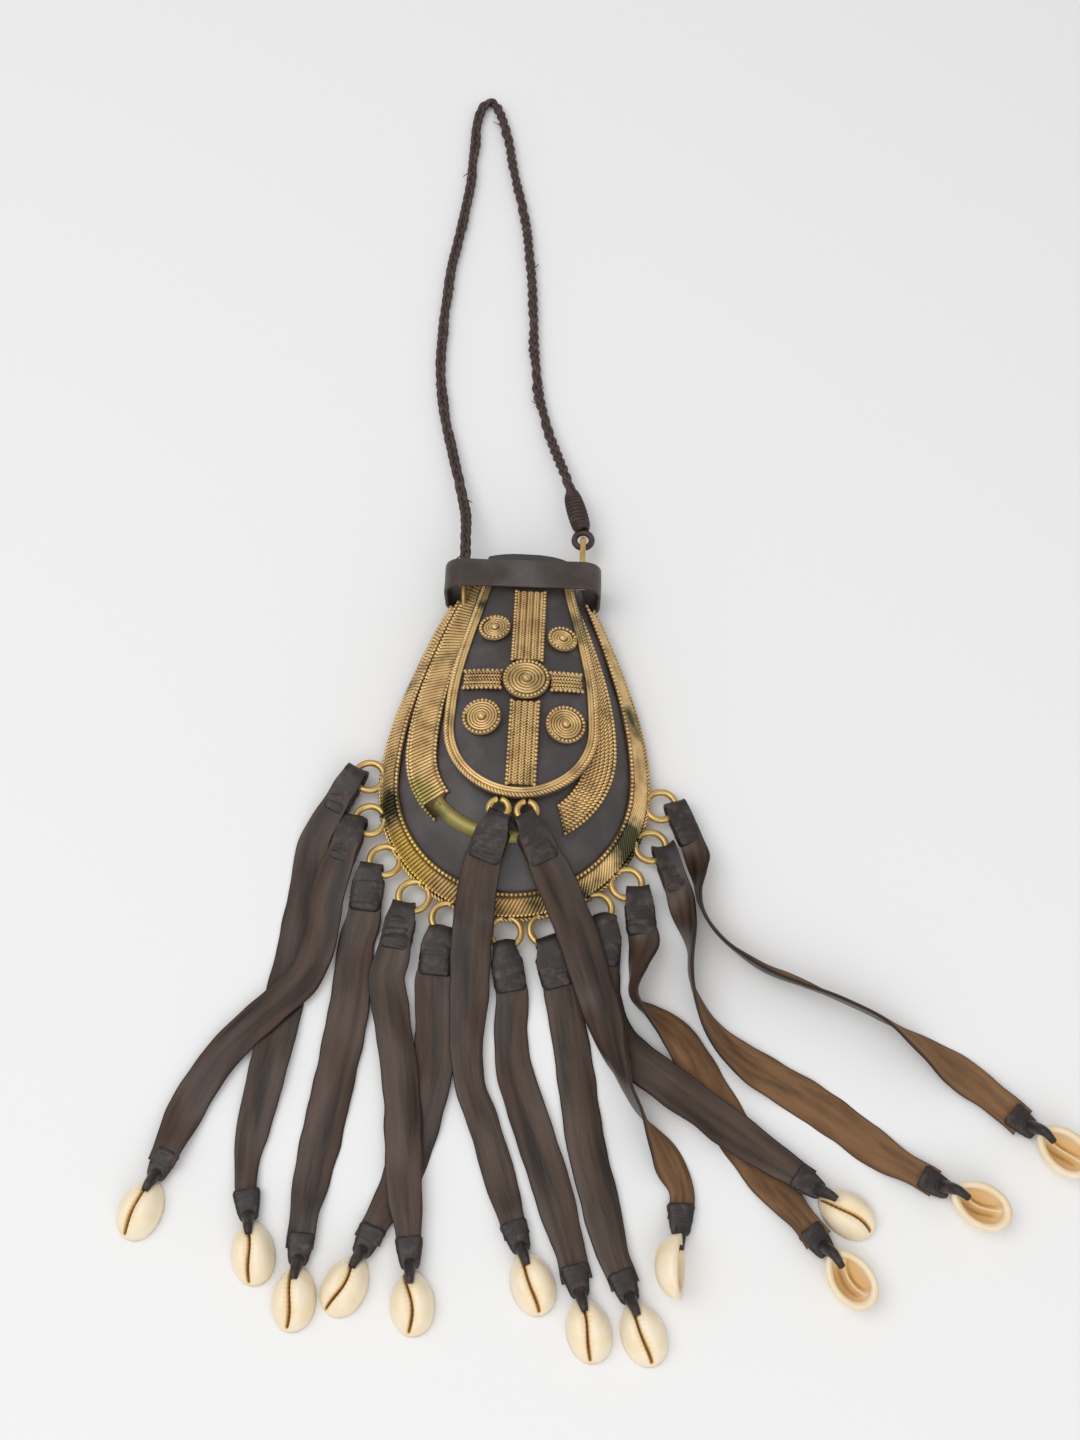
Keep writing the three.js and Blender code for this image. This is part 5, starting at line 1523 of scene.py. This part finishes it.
class POUCH_OT_keeper(PouchStep, bpy.types.Operator):
    """Close the keeper band round the neck."""

    bl_idname = "pouch.keeper"
    bl_label = "Keeper Band"

    def execute(self, context):
        c = colours()
        hide = leather(
            "keeper_leather", c.keeper, c.leather_wear_and_sheen,
            roughness=0.45, scale=60.0, low=0.42, high=0.78, grain=0.4,
        )
        width = HOOP_TOP_Y - HOOP_LOW_Y
        hoop = self.hoop()
        rows = []
        for x, low, z, a, b in hoop:
            wander = noise.noise(Vector((x, z, 0)) * HOOP_WANDER_SCALE + Vector((0, 0, 4.0))) * HOOP_WANDER
            for share, depth in HOOP_PROFILE:
                reach = depth
                if depth == 0:
                    dent = Vector((x * HOOP_DENT_SCALE, share * 2, z * HOOP_DENT_SCALE))
                    reach = noise.noise(dent) * HOOP_DENT - HOOP_SHY
                y = low + share * width + wander * (share - 0.5)
                rows.append((x + a * reach, y, z + b * reach))
        count, sides = len(hoop), len(HOOP_PROFILE)
        faces = []
        for i in range(count):
            n = (i + 1) % count
            for j in range(sides):
                k = (j + 1) % sides
                faces.append((i * sides + j, i * sides + k, n * sides + k, n * sides + j))
        shape = Shape()
        shape.add(rows, faces)
        settle(shape.build("keeper_hide", [hide]), ["keeper_band"], "keeper")
        return {"FINISHED"}

    def hoop(self):
        """The hoop's lower outer edge, with the outward direction in x and z at each point."""
        line = []
        for side, height, start in HOOP_CORNERS:
            x = side * (HOOP_HALF - HOOP_CORNER)
            z = (HOOP_HEIGHT + HOOP_LOW) / 2 + height * ((HOOP_HEIGHT - HOOP_LOW) / 2 - HOOP_CORNER)
            for turn in np.radians(np.linspace(start, start + 90, HOOP_CORNER_POINTS)):
                a, b = math.cos(turn), math.sin(turn)
                line.append((x + HOOP_CORNER * a, HOOP_LOW_Y, z + HOOP_CORNER * b, a, b))
        return resample(line + line[:1], HOOP_STEP)[:-1]


class POUCH_OT_bands(PouchStep, bpy.types.Operator):
    """Lay the ropework bands on the rim and round the flap, and the wires on the flap's edge."""

    bl_idname = "pouch.bands"
    bl_label = "Ropework Bands"

    def execute(self, context):
        c = colours()
        spots = [(place, reach, getattr(c, stain)) for place, reach, stain in BRASS_SPOTS]
        metal = brass("band_brass", c.brass, c.brass_tarnish_and_shade, c.patina, roughness=0.38, spots=spots)
        # The backing between the wires is darkened as painted shade
        plate = brass("band_plate", shade(c.brass, PLATE_SHADE_TONE), c.brass_tarnish_and_shade, roughness=0.5)
        bare = brass("bare_strip", c.bare, shade(c.bare, BARE_TONE), c.patina, roughness=0.5)
        self.edge(metal, plate)
        self.inner_left(metal, plate, bare)
        self.inner_right(metal, plate)
        self.flap_wires(metal)
        return {"FINISHED"}

    def edge(self, metal, plate):
        start = int(np.argmax(RIM[:, 1] < EDGE_START_Y))
        part = slice(start, len(RIM) - start)
        outer, inner = RIM[part], EDGE_INNER[part]
        shape = Shape()
        self.backing(shape, outer, inner)
        self.lay_rope(shape, between(outer, inner, EDGE_ROPE))
        low, high = (between(outer, inner, share) for share in EDGE_HATCH)
        self.hatch(shape, low, high, EDGE_SLANT)
        self.lay_beads(shape, between(outer, inner, EDGE_BEADS))
        settle(shape.build("edge_ropework", [metal, plate]), ["edge_band"])

    def inner_left(self, metal, plate, bare):
        """The left half, down to the bare strip where its wirework is lost."""
        count = len(BAND_OUTER)
        start = int(np.argmax(BAND_OUTER[:, 1] < HOOP_TOP_Y))
        part = slice(start, int(count * LEFT_END))
        shape = Shape()
        self.beaded(shape, BAND_OUTER[part], BAND_INNER[part])
        self.hatch(shape, BAND_OUTER[part], BAND_INNER[part], BAND_SLANT)
        lost = slice(*(int(count * share) for share in BARE_PART))
        outer, inner = (between(BAND_OUTER, BAND_INNER, share)[lost] for share in BARE_ACROSS)
        self.backing(shape, outer, inner, 2)
        settle(shape.build("inner_ropework_left", [metal, plate, bare]), ["inner_band_left"])

    def inner_right(self, metal, plate):
        count = len(BAND_OUTER)
        start = int(np.argmax(BAND_OUTER[:, 1] < HOOP_TOP_Y))
        part = slice(int(count * RIGHT_START), count - start)
        shape = Shape()
        self.beaded(shape, BAND_OUTER[part], BAND_INNER[part])
        for share in BAND_ROPES:
            self.lay_rope(shape, between(BAND_OUTER, BAND_INNER, share)[part])
        settle(shape.build("inner_ropework_right", [metal, plate]), ["inner_band_right"])

    def flap_wires(self, metal):
        shape = Shape()
        inset, radius, pitch = FLAP_ROPE
        rope(shape, *self.on_flap(inset), radius, pitch)
        for inset, radius in FLAP_WIRES:
            sweep(shape, *self.on_flap(inset), radius, FLAP_WIRE_SIDES)
        settle(shape.build("flap_edge_wires", [metal]), ["flap_edge_wire"])

    def on_flap(self, inset):
        points, ups = lay(flap_line(inset, HOOP_TOP_Y), 0.0)
        return points + UP * (FLAP_TOP + FLAP_WIRE_LIFT), ups

    def beaded(self, shape, outer, inner):
        self.backing(shape, outer, inner)
        for share in BAND_BEADS:
            self.lay_beads(shape, between(outer, inner, share))

    def lay_beads(self, shape, line):
        beads(shape, lay(line, BEAD_LIFT)[0], sizes().bead_radius)

    def lay_rope(self, shape, line):
        rope(shape, *lay(line, ROPE_LIFT), sizes().rope_radius, ROPE_PITCH)

    def hatch(self, shape, outer, inner, slant):
        """Short wires laid slantwise across a band."""
        run = run_of(between(outer, inner, 0.5))
        share = np.linspace(HATCH_MARGIN, 1 - HATCH_MARGIN, HATCH_POINTS)
        for place in np.arange(0, run[-1] - slant, HATCH_PITCH):
            at = place + slant * share
            low = np.stack([np.interp(at, run, outer[:, k]) for k in range(2)], axis=1)
            high = np.stack([np.interp(at, run, inner[:, k]) for k in range(2)], axis=1)
            points, ups = lay(between(low, high, share[:, None]), HATCH_LIFT)
            sweep(shape, points, ups, HATCH_WIRE)

    def backing(self, shape, outer, inner, slot=1):
        section = ((0, GAP), (0, PLATE_LIFT), (0.5, PLATE_LIFT), (1, PLATE_LIFT), (1, GAP), (0.5, GAP))
        plate_solid(shape, [lay(between(outer, inner, share), lift)[0] for share, lift in section], slot)


class POUCH_OT_cross(PouchStep, bpy.types.Operator):
    """Set the cross, its centre boss and the coiled discs on the flap."""

    bl_idname = "pouch.cross"
    bl_label = "Cross and Discs"

    def execute(self, context):
        c = colours()
        metal = brass("cross_brass", shade(c.brass, CROSS_TONE), c.brass_tarnish_and_shade, roughness=0.34)
        # The bars' backing between the wires is darkened as painted shade
        plate = brass("cross_plate", shade(c.brass, PLATE_SHADE_TONE), c.brass_tarnish_and_shade, roughness=0.5)
        for node, start, end, width, ropes in BARS:
            self.bar(node, np.array(start), np.array(end), width, ropes, [metal, plate])
        for node, x, y, radius, height, gauge, knob in DISCS:
            self.disc(node, x, y, radius, height, gauge, knob, [metal, plate])
        return {"FINISHED"}

    def on_flap(self, plan, lift):
        return np.column_stack([plan, front_z(plan[:, 0], plan[:, 1]) + FLAP_TOP + lift])

    def bar(self, node, start, end, width, ropes, skins):
        heading = unit(end - start)
        side = np.array((-heading[1], heading[0])) * width
        middle = start + np.linspace(0, 1, BAR_POINTS)[:, None] * (end - start)
        shape = Shape()
        plate_solid(shape, [self.on_flap(middle + side * share, lift) for share, lift in BAR_SECTION], 1)
        for share in (-BAR_BEADS, BAR_BEADS):
            beads(shape, self.on_flap(middle + side * share, BAR_BEAD_LIFT), sizes().bead_radius)
        ups = np.tile(UP, (BAR_POINTS, 1))
        for k, share in enumerate(np.linspace(-BAR_ROPES, BAR_ROPES, ropes)):
            line = self.on_flap(middle + side * share, BAR_ROPE_LIFT)
            rope(shape, line, ups, BAR_ROPE_RADIUS, BAR_ROPE_PITCH, (-1) ** k)
        settle(shape.build(node + "_work", skins), [node])

    def disc(self, node, x, y, radius, height, gauge, knob, skins):
        seat = Seat(x, y)
        shape = Shape()
        angle = np.linspace(0, 2 * math.pi, DISC_POINTS, endpoint=False)
        top = height * DISC_PLATE
        section = ((DISC_HOLE, 0.0), (radius, 0.0), (radius, top), (DISC_HOLE, top))
        rows = [seat.ring(np.full(DISC_POINTS, reach), angle, lift) for reach, lift in section]
        faces = grid_faces(len(rows), DISC_POINTS, closed=True)
        faces.append(tuple(range(DISC_POINTS)))
        faces.append(tuple((len(rows) - 1) * DISC_POINTS + j for j in reversed(range(DISC_POINTS))))
        shape.add(np.concatenate(rows), faces, 1)
        wire = sizes().coil_wire * gauge
        turns = (radius - COIL_SPARE) / (2 * wire)
        coil = np.linspace(0, turns * 2 * math.pi, int(turns * COIL_POINTS))
        spiral = seat.ring(COIL_START + coil / math.pi * wire, coil, height * COIL_HEIGHT)
        sweep(shape, spiral, np.tile(seat.normal, (len(coil), 1)), wire)
        closed = np.linspace(0, 2 * math.pi, DISC_BEAD_POINTS)
        reach = np.full(DISC_BEAD_POINTS, radius - DISC_BEAD_INSET)
        border = seat.ring(reach, closed, height * DISC_BEAD_HEIGHT)
        beads(shape, border, sizes().bead_radius * DISC_BEAD_SHARE)
        verts, faces = ball(rows=8, columns=14)
        shape.add(verts * knob + seat.centre + seat.normal * height * KNOB_HEIGHT, faces)
        settle(shape.build(node + "_work", skins), [node])


class POUCH_PT_sidebar(bpy.types.Panel):
    """Sizes, colours and steps of the pouch."""

    bl_idname = "POUCH_PT_sidebar"
    bl_label = "Tobacco Pouch"
    bl_space_type = "VIEW_3D"
    bl_region_type = "UI"
    bl_category = "Pouch"

    def draw(self, context):
        for group in (context.scene.pouch_sizes, context.scene.pouch_colours):
            box = self.layout.box()
            for name in group.__annotations__:
                box.prop(group, name)
        for step in STEPS:
            self.layout.operator(step.bl_idname)


STEPS = (
    POUCH_OT_stage,
    POUCH_OT_strap,
    POUCH_OT_fringe,
    POUCH_OT_loops,
    POUCH_OT_body,
    POUCH_OT_flap,
    POUCH_OT_keeper,
    POUCH_OT_bands,
    POUCH_OT_cross,
)
CLASSES = (PouchSizes, PouchColours, *STEPS, POUCH_PT_sidebar)


def register():
    for made in CLASSES:
        bpy.utils.register_class(made)
    bpy.types.Scene.pouch_sizes = PointerProperty(type=PouchSizes)
    bpy.types.Scene.pouch_colours = PointerProperty(type=PouchColours)


def unregister():
    del bpy.types.Scene.pouch_colours
    del bpy.types.Scene.pouch_sizes
    for made in reversed(CLASSES):
        bpy.utils.unregister_class(made)


def main():
    register()
    bpy.ops.pouch.stage()
    bpy.ops.pouch.strap()
    bpy.ops.pouch.fringe()
    bpy.ops.pouch.loops()
    bpy.ops.pouch.body()
    bpy.ops.pouch.flap()
    bpy.ops.pouch.keeper()
    bpy.ops.pouch.bands()
    bpy.ops.pouch.cross()


if __name__ == "__main__":
    main()
